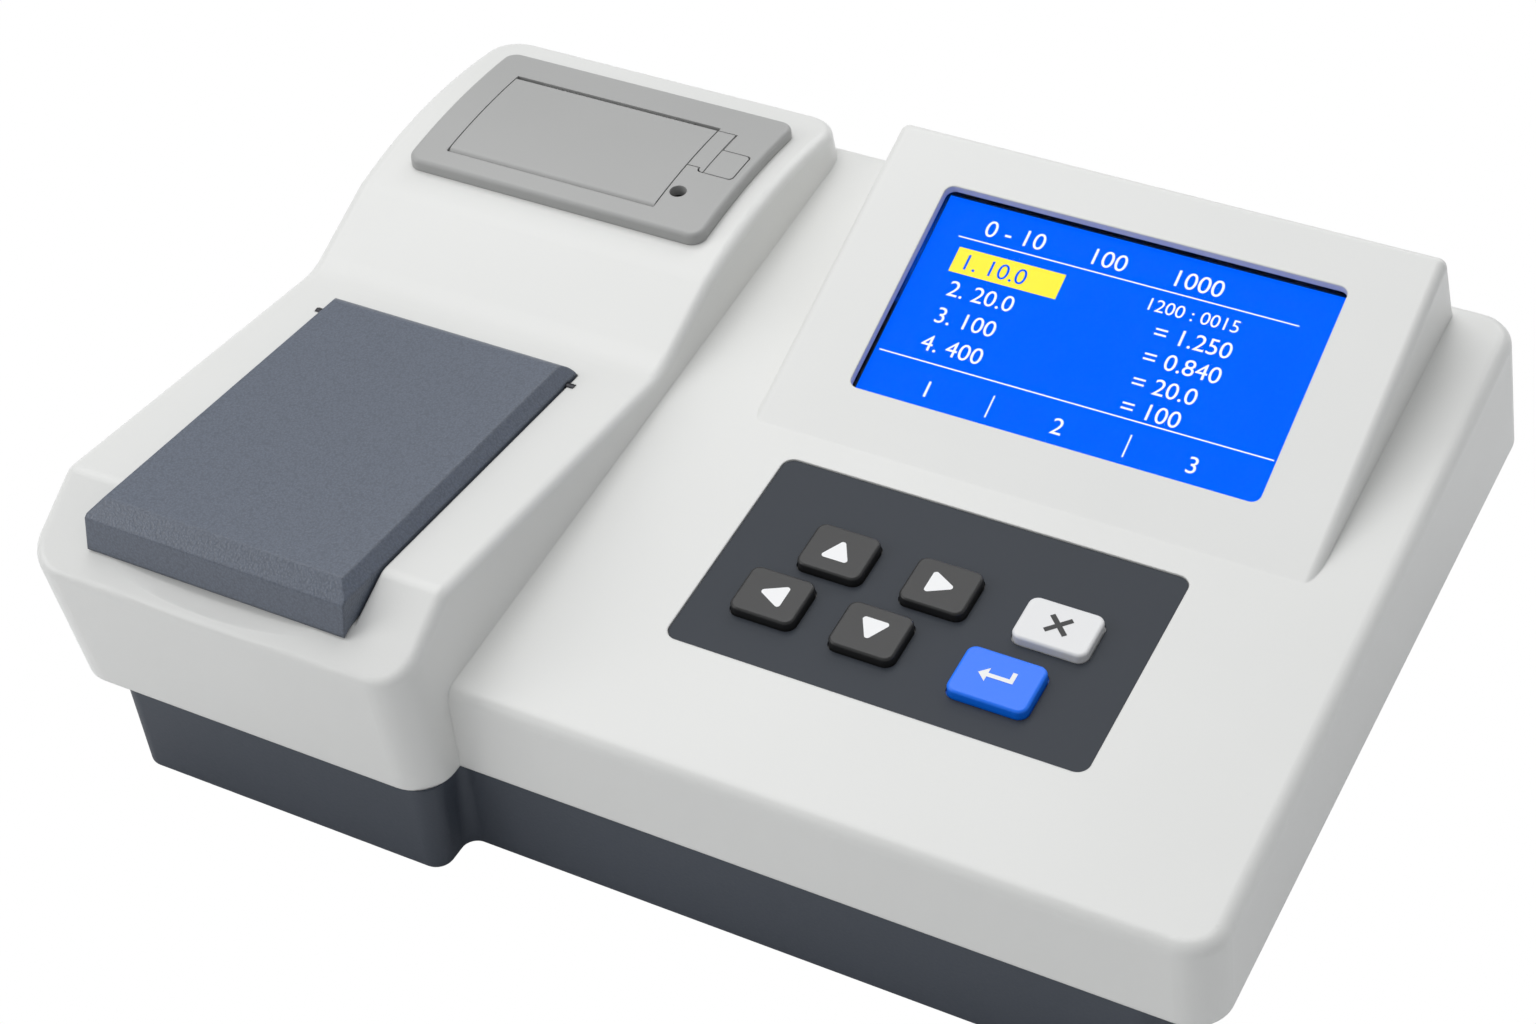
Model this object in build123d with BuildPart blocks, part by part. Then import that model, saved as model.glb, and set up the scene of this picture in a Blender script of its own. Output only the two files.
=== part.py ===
# Benchtop turbidity meter with a tilted display, a key field and a built-in strip printer.
# Millimetres, +Z up and +Y to the back. The origin is on the bench, under the middle of the case.
import os
from math import atan, cos, radians, sin, sqrt, tan

from build123d import *

os.makedirs("parts", exist_ok=True)

# Plan of the case at the seam between its two halves
main_width = 230
pod_width = 127
pod_step = 15
case_depth = 284

# Heights above the bench and above the seam
foot_height = 4
base_height = 35
main_front_height = 25.5
crease_height = 40
nose_height = 53.6

# Slopes and drafts, in degrees
main_slope = 3.64
lid_deck_slope = 5.6
hood_slope = 19.9
wall_draft = 7.2
pod_flare = 13
back_draft = 3

# Profile of the left part, the pod, along its depth
nose_setback = 29.6
dip_from_front = 152
ramp_run = 34
ramp_rise = 10.6
hump_radius = 250
hump_overrun = 20
hump_fall = 6
nose_round = 7
dip_round = 30
shoulder_round = 30

# Walls, corners and clearances of the case
wall = 3
case_corner = 12
edge_round = 3.5
deck_round = 4.5
ledge_wall = 2.5
case_gap = 0.4
side_inset = 15.6
front_inset = 1
base_wall = 3.5
base_floor = 3
base_corner = 7
step_corner = 3

# Raised hood around the display
hood_width = 180
hood_from_right = 25
hood_from_front = 136
hood_face_length = 117
hood_back_run = 17
hood_round = 3
window_width = 132
window_height = 78
window_margin = 20

# Key field
keypad_width = 130
keypad_height = 79
keypad_from_step = 43
keypad_from_front = 46.5
keypad_corner = 4
panel_thickness = 0.8
panel_drop = 0.4
panel_fit = 0.25
arrow_key_width = 20.5
arrow_key_height = 18
escape_key_width = 23
enter_key_width = 24.5
key_corner = 3
key_rise = 3
key_travel = 1
key_gap = 0.4
key_board_drop = 7.4
key_boss_radius = 3
key_boss_margin = 0.6

# Sample lid and the recess that it lies in
lid_width = 89
lid_gap = 0.75
lid_rise = 5
lid_wall = 2.5
lid_chamfer = 4.5
recess_depth = 9
recess_corner = 1.2
recess_back_from_front = 138.7
barrel_radius = 6
hinge_gap = 0.5
lid_overhang = 19.7
lid_floor_gap = 0.8
lid_side_run = 3.5
lid_side_drop = 4
pin_radius = 1.5
pin_fit = 0.05

# Finger scoop in the slanted facet, under the front edge of the lid
scoop_width = 84
scoop_radius = 14
scoop_depth = 1.8

# Sample cell and its optics
cell_radius = 12.5
cell_fit = 0.4
cell_depth = 52
cell_from_front = 82
block_width = 56
block_height = 58
block_drop = 4.5
port_radius = 6
port_fit = 0.1
optic_depth = 36
lamp_radius = 2.5
lamp_reach = 8
lens_thickness = 3
lens_curve = 12
ledge_plate = 2
collar_rise = 3.5
seal_radius = 24
seal_thickness = 3
seal_gap = 0.3

# Strip printer
bezel_width = 110
bezel_depth = 68
bezel_rise = 4
bezel_from_back = 18.5
bezel_corner = 5
neck_depth = 4
door_width = 77
door_length = 44
door_from_bezel_front = 8
door_from_bezel_left = 12
door_pin_radius = 1.2
door_pin_seat = 4
paper_slot = 1.8
door_thickness = 2.2
door_gap = 0.4
door_barrel = 2.6
roller_radius = 5
roller_length = 58
roller_back_offset = 7
roller_depth = 8.5
shaft_radius = 2
arm_gap = 0.6
arm_thickness = 2
gear_radius = 6
gear_tooth = 1.1
gear_teeth = 22
gear_width = 3
gear_gap = 0.5
head_gap = 1.2
tear_teeth = 24
tear_thickness = 0.5
latch_strip_width = 6.6
latch_strip_length = 21
latch_pad_width = 10.3
latch_pad_length = 13.3
latch_travel = 1.2
latch_gap = 0.3
latch_thickness = bezel_rise - latch_travel - latch_gap
bucket_depth = 44
bucket_wall = 2

# Base tray, rear sockets and boards
base_draft = 2.4
back_inset = 4
rim_height = 2.5
foot_edge = 36
inlet_width = 27
inlet_height = 20
switch_width = 13
switch_height = 20
rocker_angle = 10
port_width = 17
port_height = 9
port_reach = 2.5
inlet_depth = 18
flange_depth = 2
switch_depth = 14
rocker_face = 4

# Fasteners and feet
screw_radius = 1.5
screw_recess = 20
screw_length = 24
screw_head_radius = 3
foot_radius = 10
foot_seat = 1.5
boss_radius = 4.5
board_thickness = 1.6

# Levels and edges that follow from the sizes above
seam_z = foot_height + base_height
deck_front_z = seam_z + main_front_height
pod_front_y = -case_depth / 2
main_front_y = pod_front_y + pod_step
back_y = case_depth / 2
nose_y = pod_front_y + nose_setback
nose_z = seam_z + nose_height
crease_z = seam_z + crease_height
dip_y = pod_front_y + dip_from_front
dip_z = nose_z - (dip_y - nose_y) * tan(radians(lid_deck_slope))
ramp_y = dip_y + ramp_run
ramp_z = dip_z + ramp_rise

# The hump behind the ramp is an arc from the ramp's top to a point past the back, and its centre
hump_end_y = back_y + hump_overrun
hump_end_z = ramp_z - hump_fall
hump_run = hump_end_y - ramp_y
hump_chord = sqrt(hump_run**2 + hump_fall**2)
hump_height = sqrt(hump_radius**2 - (hump_chord / 2) ** 2)
hump_y = (ramp_y + hump_end_y) / 2 - hump_fall / hump_chord * hump_height
hump_z = (ramp_z + hump_end_z) / 2 - hump_run / hump_chord * hump_height

# The left wall leans out, so the case is widest where that wall meets the hump's edge
pod_lean = (hump_z + hump_radius - seam_z - edge_round) * tan(radians(pod_flare))
case_width = pod_lean + pod_width + main_width
right_x = case_width / 2
step_x = right_x - main_width
left_x = step_x - pod_width
loft_top_z = ramp_z + 14
loft_rise = loft_top_z - seam_z
pod_left_top = left_x - (nose_z - edge_round - seam_z) * tan(radians(pod_flare))
pod_right_top = step_x - nose_height * tan(radians(wall_draft))
pod_x = (pod_left_top + pod_right_top) / 2

# Planes that the pieces are built on: the main deck, the lid's deck and the hood's face
deck_plane = Plane(
    origin=(0, main_front_y, deck_front_z),
    x_dir=(1, 0, 0),
    z_dir=(0, -sin(radians(main_slope)), cos(radians(main_slope))),
)
lid_plane = Plane(
    origin=(pod_x, nose_y, nose_z),
    x_dir=(1, 0, 0),
    z_dir=(0, sin(radians(lid_deck_slope)), cos(radians(lid_deck_slope))),
)
hood_x = right_x - hood_from_right - hood_width / 2
hood_front_y = pod_front_y + pod_step + hood_from_front
hood_front_z = deck_front_z + hood_from_front * tan(radians(main_slope))
hood_plane = Plane(
    origin=(hood_x, hood_front_y, hood_front_z),
    x_dir=(1, 0, 0),
    z_dir=(0, -sin(radians(hood_slope)), cos(radians(hood_slope))),
)


def rounded_plan(left, right, front, back, radius):
    """A rounded rectangle between four edges, for use inside a sketch."""
    with Locations(((left + right) / 2, (front + back) / 2)):
        RectangleRounded(right - left, back - front, radius)


def deck_height(y):
    """Height of the main deck at a depth."""
    return deck_front_z + (y - main_front_y) * tan(radians(main_slope))


def outline_edges(faces):
    """The edges that belong to only one of the faces."""
    edges = faces.edges()
    return ShapeList([edge for edge in edges if sum(edge.is_same(other) for other in edges) == 1])


# Outer forms of the case. With an inset they give the space inside its walls.
def pod_form(inset=0):
    with BuildPart() as form:
        with BuildSketch(Plane.XY.offset(seam_z)):
            rounded_plan(
                left_x + inset, step_x - inset, pod_front_y + inset, back_y - inset, case_corner - inset
            )
        with BuildSketch(Plane.XY.offset(loft_top_z)):
            rounded_plan(
                left_x - loft_rise * tan(radians(pod_flare)) + inset,
                step_x - loft_rise * tan(radians(wall_draft)) - inset,
                pod_front_y + inset,
                back_y - loft_rise * tan(radians(back_draft)) - inset,
                case_corner - inset,
            )
        loft()
        start = (nose_y - 2 * nose_setback, nose_z - 2 * (nose_z - crease_z) - inset)
        end = (hump_end_y, hump_end_z - inset)
        with BuildSketch(Plane.YZ.offset(-case_width)) as profile:
            with BuildLine():
                FilletPolyline(
                    start,
                    (nose_y, nose_z - inset),
                    (dip_y, dip_z - inset),
                    (ramp_y, ramp_z - inset),
                    radius=(nose_round, dip_round),
                )
                RadiusArc((ramp_y, ramp_z - inset), end, hump_radius)
                Polyline(end, (end[0], seam_z - wall), (start[0], seam_z - wall), start)
            make_face()
            fillet(profile.vertices().sort_by_distance((ramp_y, ramp_z - inset, 0))[0], shoulder_round)
        extrude(amount=2 * case_width, mode=Mode.INTERSECT)
        if not inset:
            top_faces = form.faces().filter_by(lambda face: face.normal_at().Z > 0.35)
            fillet(outline_edges(top_faces), edge_round)
    return form.part


def main_form(inset=0):
    with BuildPart() as form:
        with BuildSketch(Plane.XY.offset(seam_z)):
            rounded_plan(pod_x, right_x - inset, main_front_y + inset, back_y - inset, case_corner - inset)
        with BuildSketch(Plane.XY.offset(loft_top_z)):
            rounded_plan(
                pod_x,
                right_x - loft_rise * tan(radians(wall_draft)) - inset,
                main_front_y + loft_rise * tan(radians(wall_draft)) + inset,
                back_y - loft_rise * tan(radians(back_draft)) - inset,
                case_corner - inset,
            )
        loft()
        split(bisect_by=deck_plane.offset(-inset), keep=Keep.BOTTOM)
        if not inset:
            fillet(form.faces().sort_by(Axis.Z)[-1].edges(), deck_round)
    return form.part


def hood_form(inset=0):
    hood_angle = radians(hood_slope)
    face_rise = hood_face_length * sin(hood_angle)
    face_run = hood_face_length * cos(hood_angle)
    apex_drop = inset * (1 + sin(hood_angle)) / cos(hood_angle)
    sink = 12
    with BuildPart() as form:
        with BuildSketch(Plane.YZ.offset(hood_x - hood_width / 2 + inset)):
            with BuildLine():
                Polyline(
                    (hood_front_y - sink / tan(hood_angle) + inset / sin(hood_angle), hood_front_z - sink),
                    (hood_front_y + face_run - inset, hood_front_z + face_rise - apex_drop),
                    (hood_front_y + face_run + hood_back_run - inset, deck_height(hood_front_y + face_run) - inset),
                    (hood_front_y + face_run + hood_back_run - inset, hood_front_z - sink),
                    close=True,
                )
            make_face()
        extrude(amount=hood_width - 2 * inset)
        if not inset:
            sloped = form.faces().filter_by(lambda face: face.normal_at().Z > 0.2)
            fillet(sloped.edges().filter_by(lambda edge: edge.center().Z > hood_front_z - sink + 1), hood_round)
    return form.part


def scoop_form(radius):
    """A spindle along the scoop: full in the middle and running out of the facet at both ends."""
    end_radius = radius - 1.5 * scoop_depth
    with BuildPart() as form:
        with BuildSketch(Plane(origin=scoop_centre, x_dir=(1, 0, 0), z_dir=(0, 0, 1))):
            with BuildLine():
                ThreePointArc((-scoop_width / 2, end_radius), (0, radius), (scoop_width / 2, end_radius))
                Polyline(
                    (scoop_width / 2, end_radius),
                    (scoop_width / 2, 0),
                    (-scoop_width / 2, 0),
                    (-scoop_width / 2, end_radius),
                )
            make_face()
        revolve(axis=Axis(scoop_centre, (1, 0, 0)))
    return form.part


# Upper case: the moulded white shell with the pod, the main deck and the hood in one piece
outer_form = pod_form() + main_form() + hood_form()
inner_form = pod_form(wall) + main_form(wall) + hood_form(wall)

lid_angle = radians(lid_deck_slope)
recess_front = (pod_front_y - 5 - nose_y) / cos(lid_angle)
recess_back = (pod_front_y + recess_back_from_front - nose_y) / cos(lid_angle)
recess_width = lid_width + 2 * lid_gap
lid_side = Plane(
    origin=(pod_x, nose_y, nose_z), x_dir=(0, cos(lid_angle), -sin(lid_angle)), z_dir=(1, 0, 0)
)
hinge_v = recess_back - hinge_gap - barrel_radius
hinge_w = lid_rise - barrel_radius
hinge_point = lid_side.from_local_coords((hinge_v, hinge_w, 0))
cell_y = pod_front_y + cell_from_front
cell_v = (cell_y - nose_y) / cos(lid_angle)
recess_floor_z = nose_z - (cell_y - nose_y) * tan(lid_angle) - recess_depth / cos(lid_angle)
block_top = recess_floor_z - block_drop
collar_top = recess_floor_z + ledge_plate + collar_rise
well_size = block_width + 8
printer_x = pod_x + 1.5
bezel_back_y = back_y - bezel_from_back
bezel_y = bezel_back_y - bezel_depth / 2
printer_cut_width = bezel_width - 8
printer_cut_depth = bezel_depth - 8
window_v = window_margin + window_height / 2
keypad_x = step_x + keypad_from_step + keypad_width / 2
keypad_v = keypad_from_front + keypad_height / 2
panel_opening_width = keypad_width - 8
panel_opening_height = keypad_height - 11

facet_angle = atan((nose_height - crease_height) / nose_setback)
scoop_along = lid_overhang / cos(lid_angle + facet_angle)
scoop_reach = scoop_radius - scoop_depth
scoop_centre = (
    pod_x,
    nose_y - scoop_along * cos(facet_angle) - scoop_reach * sin(facet_angle),
    nose_z - scoop_along * sin(facet_angle) + scoop_reach * cos(facet_angle),
)

screw_places = [
    (left_x + 30, pod_front_y + 16),
    (left_x + 30, back_y - 16),
    (step_x + 14, main_front_y + 16),
    (step_x + 14, back_y - 16),
    (right_x - 27, main_front_y + 16),
    (right_x - 27, back_y - 16),
]
key_boss_offset = panel_opening_height / 2 + key_boss_radius + key_boss_margin
board_boss_places = [
    (keypad_x + sx * (panel_opening_width / 2 - 5), keypad_v + sy * key_boss_offset)
    for sx in (-1, 1)
    for sy in (-1, 1)
]

with BuildPart() as upper_case:
    add(outer_form)
    add(inner_form, mode=Mode.SUBTRACT)
    with BuildPart(mode=Mode.PRIVATE) as posts:
        with BuildSketch(Plane.XY.offset(seam_z + rim_height)):
            with Locations(*screw_places):
                Circle(boss_radius)
        extrude(amount=loft_rise)
        with BuildSketch(lid_plane.offset(-recess_depth - ledge_wall)):
            with Locations((0, (recess_front + recess_back + ledge_wall) / 2)):
                Rectangle(recess_width + 2 * ledge_wall, recess_back - recess_front + ledge_wall)
        extrude(amount=recess_depth + ledge_wall + 1)
        with BuildSketch(deck_plane.offset(-key_board_drop)):
            with Locations(*board_boss_places):
                Circle(key_boss_radius)
        extrude(amount=key_board_drop - 0.5)
        add(scoop_form(scoop_radius + wall - scoop_depth / 2))
        add(outer_form, mode=Mode.INTERSECT)
    add(posts.part)
    add(scoop_form(scoop_radius), mode=Mode.SUBTRACT)
    with BuildSketch(lid_plane.offset(-recess_depth)):
        with Locations((0, (recess_front + recess_back) / 2)):
            RectangleRounded(recess_width, recess_back - recess_front, recess_corner)
    extrude(amount=recess_depth + 10, mode=Mode.SUBTRACT)
    with BuildSketch(lid_plane.offset(-recess_depth - ledge_wall - 1)):
        with Locations((0, cell_v)):
            RectangleRounded(well_size, well_size, 6)
    extrude(amount=ledge_wall + 2, mode=Mode.SUBTRACT)
    with BuildSketch(Plane(origin=hinge_point, z_dir=(1, 0, 0))):
        Circle(pin_radius + pin_fit)
    extrude(amount=recess_width / 2 + ledge_wall - 0.5, both=True, mode=Mode.SUBTRACT)
    with BuildSketch(Plane.XY.offset(ramp_z - 20)):
        with Locations((printer_x, bezel_y)):
            RectangleRounded(printer_cut_width, printer_cut_depth, 2)
    extrude(amount=50, mode=Mode.SUBTRACT)
    with BuildSketch(hood_plane.offset(-wall - 1)):
        with Locations((0, window_v)):
            RectangleRounded(window_width, window_height, 3)
    extrude(amount=wall + 2, mode=Mode.SUBTRACT)
    with BuildSketch(deck_plane.offset(-panel_thickness - panel_drop)):
        with Locations((keypad_x, keypad_v)):
            RectangleRounded(keypad_width, keypad_height, keypad_corner)
    extrude(amount=5, mode=Mode.SUBTRACT)
    with BuildSketch(deck_plane.offset(-wall - 1)):
        with Locations((keypad_x, keypad_v)):
            RectangleRounded(panel_opening_width, panel_opening_height, 3)
    extrude(amount=wall + 2, mode=Mode.SUBTRACT)
    with BuildSketch(Plane.XY.offset(seam_z)):
        with Locations(*screw_places):
            Circle(screw_radius)
    extrude(amount=20, mode=Mode.SUBTRACT)
upper_case.part.label = "upper_case"
export_step(upper_case.part, "parts/upper_case.step")

# Lower case: a dark tray, set in at the sides, whose rim closes the overhang of the upper case from below
def stepped_plan(level, left, right, back, inset, corner, inner_corner):
    """The stepped plan of the case at a level, drawn in by an inset."""
    with BuildSketch(Plane.XY.offset(level)) as plan:
        with BuildLine():
            Polyline(
                (left + inset, pod_front_y + inset),
                (step_x - inset, pod_front_y + inset),
                (step_x - inset, main_front_y + inset),
                (right - inset, main_front_y + inset),
                (right - inset, back - inset),
                (left + inset, back - inset),
                close=True,
            )
        make_face()
        step_point = Vertex(step_x - inset, main_front_y + inset, 0)
        fillet(plan.vertices().filter_by(lambda vertex: vertex.distance_to(step_point) > 1), corner)
        fillet(plan.vertices().sort_by_distance(step_point)[0], inner_corner)
    return plan.sketch


base_left = left_x + side_inset - front_inset
base_right = right_x - side_inset + front_inset
base_back = back_y - back_inset + front_inset
panel_y = base_back - front_inset
floor_top = foot_height + base_floor
foot_places = [
    (x, y)
    for x in (base_left + foot_edge, base_right - foot_edge)
    for y in (main_front_y + foot_edge, base_back - foot_edge)
]
block_bottom = block_top - block_height
block_posts = [(pod_x + sx * 20, cell_y + sy * 20) for sx in (-1, 1) for sy in (-1, 1)]
board_x = step_x + 115
board_y = main_front_y + 88
board_z = 16
board_posts = [(board_x + sx * 70, board_y + sy * 48) for sx in (-1, 1) for sy in (-1, 1)]
supply_x = right_x - 72
supply_y = back_y - 62
supply_posts = [(supply_x + sx * 34, supply_y + sy * 18) for sx in (-1, 1) for sy in (-1, 1)]
supply_z = 12
back_plane = Plane(origin=(0, panel_y, foot_height + base_height / 2), x_dir=(-1, 0, 0), z_dir=(0, 1, 0))
inlet_x = right_x - 55
switch_x = right_x - 95
port_x = right_x - 150

with BuildPart() as lower_case:
    extrude(
        stepped_plan(seam_z, base_left, base_right, base_back, front_inset, base_corner, step_corner),
        amount=-base_height,
        taper=base_draft,
    )
    fillet(lower_case.faces().sort_by(Axis.Z)[0].edges(), 1.5)
    extrude(
        stepped_plan(seam_z, left_x, right_x, back_y, wall + case_gap, case_corner - wall, case_gap / 2),
        amount=rim_height,
    )
    extrude(
        stepped_plan(floor_top, base_left, base_right, base_back, front_inset + base_wall, base_corner - 3, step_corner),
        amount=base_height + rim_height,
        mode=Mode.SUBTRACT,
    )
    with BuildSketch(Plane.XY.offset(foot_height)):
        with Locations(*screw_places):
            Circle(boss_radius)
    extrude(amount=base_height + rim_height)
    with BuildSketch(Plane.XY.offset(floor_top)):
        with Locations(*block_posts):
            Circle(4)
    extrude(amount=block_bottom - floor_top)
    with BuildSketch(Plane.XY.offset(floor_top)):
        with Locations(*board_posts):
            Circle(3.5)
    extrude(amount=board_z - floor_top)
    with BuildSketch(Plane.XY.offset(floor_top)):
        with Locations(*supply_posts):
            Circle(3.5)
    extrude(amount=supply_z - floor_top)
    with BuildSketch(Plane.XY.offset(foot_height)):
        with Locations(*screw_places):
            Circle(screw_head_radius + 0.3)
    extrude(amount=screw_recess, mode=Mode.SUBTRACT)
    with BuildSketch(Plane.XY.offset(foot_height)):
        with Locations(*screw_places):
            Circle(screw_radius + 0.2)
    extrude(amount=base_height + rim_height, mode=Mode.SUBTRACT)
    with BuildSketch(Plane.XY.offset(foot_height)):
        with Locations(*foot_places):
            Circle(foot_radius + 0.2)
    extrude(amount=foot_seat, mode=Mode.SUBTRACT)
    with BuildSketch(Plane.XY.offset(board_z)):
        with Locations(*board_posts):
            Circle(1.25)
    extrude(amount=-7, mode=Mode.SUBTRACT)
    with BuildSketch(Plane.XY.offset(block_bottom)):
        with Locations(*block_posts):
            Circle(1.25)
    extrude(amount=-7, mode=Mode.SUBTRACT)
    with BuildSketch(Plane.XY.offset(supply_z)):
        with Locations(*supply_posts):
            Circle(1.25)
    extrude(amount=-4, mode=Mode.SUBTRACT)
    with BuildSketch(Plane.XY.offset(foot_height)):
        with Locations((supply_x, supply_y)):
            with GridLocations(7, 1, 8, 1):
                SlotCenterToCenter(22, 3, rotation=90)
    extrude(amount=base_floor, mode=Mode.SUBTRACT)
    with BuildSketch(back_plane):
        with Locations((-inlet_x, 0)):
            Rectangle(inlet_width + 0.4, inlet_height + 0.4)
        with Locations((-switch_x, 0)):
            Rectangle(switch_width + 0.4, switch_height + 0.4)
        with Locations((-port_x, 0)):
            RectangleRounded(port_width + 0.6, port_height + 0.6, 2.5)
    extrude(amount=-(base_wall + 2), mode=Mode.SUBTRACT)
lower_case.part.label = "lower_case"
export_step(lower_case.part, "parts/lower_case.step")

# Feet and case screws: the feet sit in round seats in the floor, the screws come up from deep recesses
with BuildPart() as rubber_feet:
    with BuildSketch(Plane.XY):
        with Locations(*foot_places):
            Circle(foot_radius)
    extrude(amount=foot_height + foot_seat)
    fillet(rubber_feet.faces().group_by(Axis.Z)[0].edges(), 0.8)
rubber_feet.part.label = "rubber_feet"
export_step(rubber_feet.part, "parts/rubber_feet.step")

with BuildPart() as case_screws:
    with BuildSketch(Plane.XY.offset(foot_height + screw_recess)):
        with Locations(*screw_places):
            Circle(screw_radius - 0.05)
    extrude(amount=screw_length)
    with BuildSketch(Plane.XY.offset(foot_height + screw_recess)):
        with Locations(*screw_places):
            Circle(screw_head_radius)
    extrude(amount=-2)
    with BuildSketch(Plane.XY.offset(foot_height + screw_recess - 2)):
        with Locations(*screw_places):
            Rectangle(3.4, 0.8)
            Rectangle(0.8, 3.4)
    extrude(amount=1, mode=Mode.SUBTRACT)
case_screws.part.label = "case_screws"
export_step(case_screws.part, "parts/case_screws.step")

# Sample compartment: a liner with a collar round the cell's mouth, over the optical block
plate_top = ledge_plate - recess_depth
with BuildPart() as cell_liner:
    with BuildSketch(Plane.XY.offset(block_top)):
        with Locations((pod_x, cell_y)):
            Circle(cell_radius + cell_fit + 4.5)
    extrude(amount=collar_top - block_top)
    fillet(cell_liner.faces().sort_by(Axis.Z)[-1].edges(), 1)
    with BuildSketch(lid_plane.offset(-recess_depth)):
        with Locations((0, cell_v)):
            RectangleRounded(well_size + 10, well_size + 10, 6)
    extrude(amount=ledge_plate)
    with BuildSketch(lid_plane.offset(-recess_depth)):
        with Locations((0, cell_v)):
            with GridLocations(well_size + 4, well_size + 4, 2, 2):
                Circle(1.1)
    extrude(amount=ledge_plate, mode=Mode.SUBTRACT)
    with BuildSketch(Plane.XY.offset(block_top)):
        with Locations((pod_x, cell_y)):
            Circle(cell_radius + cell_fit + 1)
    extrude(amount=collar_top, mode=Mode.SUBTRACT)
cell_liner.part.label = "cell_liner"
export_step(cell_liner.part, "parts/cell_liner.step")

axis_z = block_top - optic_depth
bore_radius = cell_radius + cell_fit
with BuildPart() as optical_block:
    with BuildSketch(Plane.XY.offset(block_bottom)):
        with Locations((pod_x, cell_y)):
            RectangleRounded(block_width, block_width, 3)
    extrude(amount=block_height)
    with BuildSketch(Plane.XY.offset(block_top)):
        with Locations((pod_x, cell_y)):
            Circle(bore_radius)
    extrude(amount=-cell_depth, mode=Mode.SUBTRACT)
    with BuildSketch(Plane(origin=(pod_x, cell_y, axis_z), z_dir=(0, 1, 0))):
        Circle(port_radius)
    extrude(amount=block_width / 2 + 1, both=True, mode=Mode.SUBTRACT)
    with BuildSketch(Plane(origin=(pod_x, cell_y, axis_z), z_dir=(1, 0, 0))):
        Circle(port_radius)
    extrude(amount=block_width / 2 + 1, mode=Mode.SUBTRACT)
    with BuildSketch(Plane.XY.offset(block_bottom)):
        with Locations(*block_posts):
            Circle(1.25)
    extrude(amount=6, mode=Mode.SUBTRACT)
optical_block.part.label = "optical_block"
export_step(optical_block.part, "parts/optical_block.step")

# Lamp, lens and detectors: each is a turned piece that plugs into a port of the block
barrel = port_radius - port_fit
front_port = Plane(origin=(pod_x, cell_y - block_width / 2, axis_z), x_dir=(1, 0, 0), z_dir=(0, -1, 0))
back_port = Plane(origin=(pod_x, cell_y + block_width / 2, axis_z), x_dir=(1, 0, 0), z_dir=(0, 1, 0))
side_port = Plane(origin=(pod_x + block_width / 2, cell_y, axis_z), x_dir=(0, 1, 0), z_dir=(1, 0, 0))
lens_seat = block_width / 2 - bore_radius - 1

with BuildPart() as lamp_holder:
    with BuildSketch(front_port):
        Circle(barrel + 3)
    extrude(amount=3)
    with BuildSketch(front_port):
        Circle(barrel)
    extrude(amount=-lamp_reach)
    with BuildSketch(front_port.offset(3)):
        Circle(lamp_radius + 0.1)
    extrude(amount=-(lamp_reach + 3), mode=Mode.SUBTRACT)
lamp_holder.part.label = "lamp_holder"
export_step(lamp_holder.part, "parts/lamp_holder.step")

with BuildPart() as infrared_lamp:
    with BuildSketch(front_port.offset(3)):
        Circle(lamp_radius + 0.5)
    extrude(amount=1)
    with BuildSketch(front_port.offset(3)):
        Circle(lamp_radius)
    extrude(amount=-7)
    fillet(infrared_lamp.faces().sort_by(Axis.Y)[-1].edges(), lamp_radius - 0.1)
    with BuildSketch(front_port.offset(4)):
        with GridLocations(2.54, 1, 2, 1):
            Circle(0.25)
    extrude(amount=5)
infrared_lamp.part.label = "infrared_lamp"
export_step(infrared_lamp.part, "parts/infrared_lamp.step")

lens_plane = Plane(origin=(pod_x, cell_y - block_width / 2 + lens_seat, axis_z), x_dir=(1, 0, 0), z_dir=(0, -1, 0))
with BuildPart() as collimating_lens:
    with BuildSketch(lens_plane):
        Circle(barrel)
    extrude(amount=lens_thickness)
    with Locations(lens_plane.offset(lens_thickness - lens_curve)):
        Sphere(lens_curve, mode=Mode.INTERSECT)
collimating_lens.part.label = "collimating_lens"
export_step(collimating_lens.part, "parts/collimating_lens.step")

with BuildPart() as lens_ring:
    with BuildSketch(lens_plane.offset(lens_thickness)):
        Circle(barrel)
        Circle(barrel - 1.6, mode=Mode.SUBTRACT)
    extrude(amount=1.5)
lens_ring.part.label = "lens_ring"
export_step(lens_ring.part, "parts/lens_ring.step")

for detector_name, port in (("transmission_detector", back_port), ("scatter_detector", side_port)):
    with BuildPart() as detector:
        with BuildSketch(port):
            Circle(barrel + 3)
        extrude(amount=2.5)
        with BuildSketch(port):
            Circle(barrel)
        extrude(amount=-lamp_reach)
        with BuildSketch(port.offset(-lamp_reach)):
            Circle(barrel - 2)
        extrude(amount=2, mode=Mode.SUBTRACT)
        with BuildSketch(port.offset(2.5)):
            with GridLocations(5, 1, 2, 1):
                Circle(0.4)
        extrude(amount=5)
    detector.part.label = detector_name
    export_step(detector.part, f"parts/{detector_name}.step")

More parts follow.
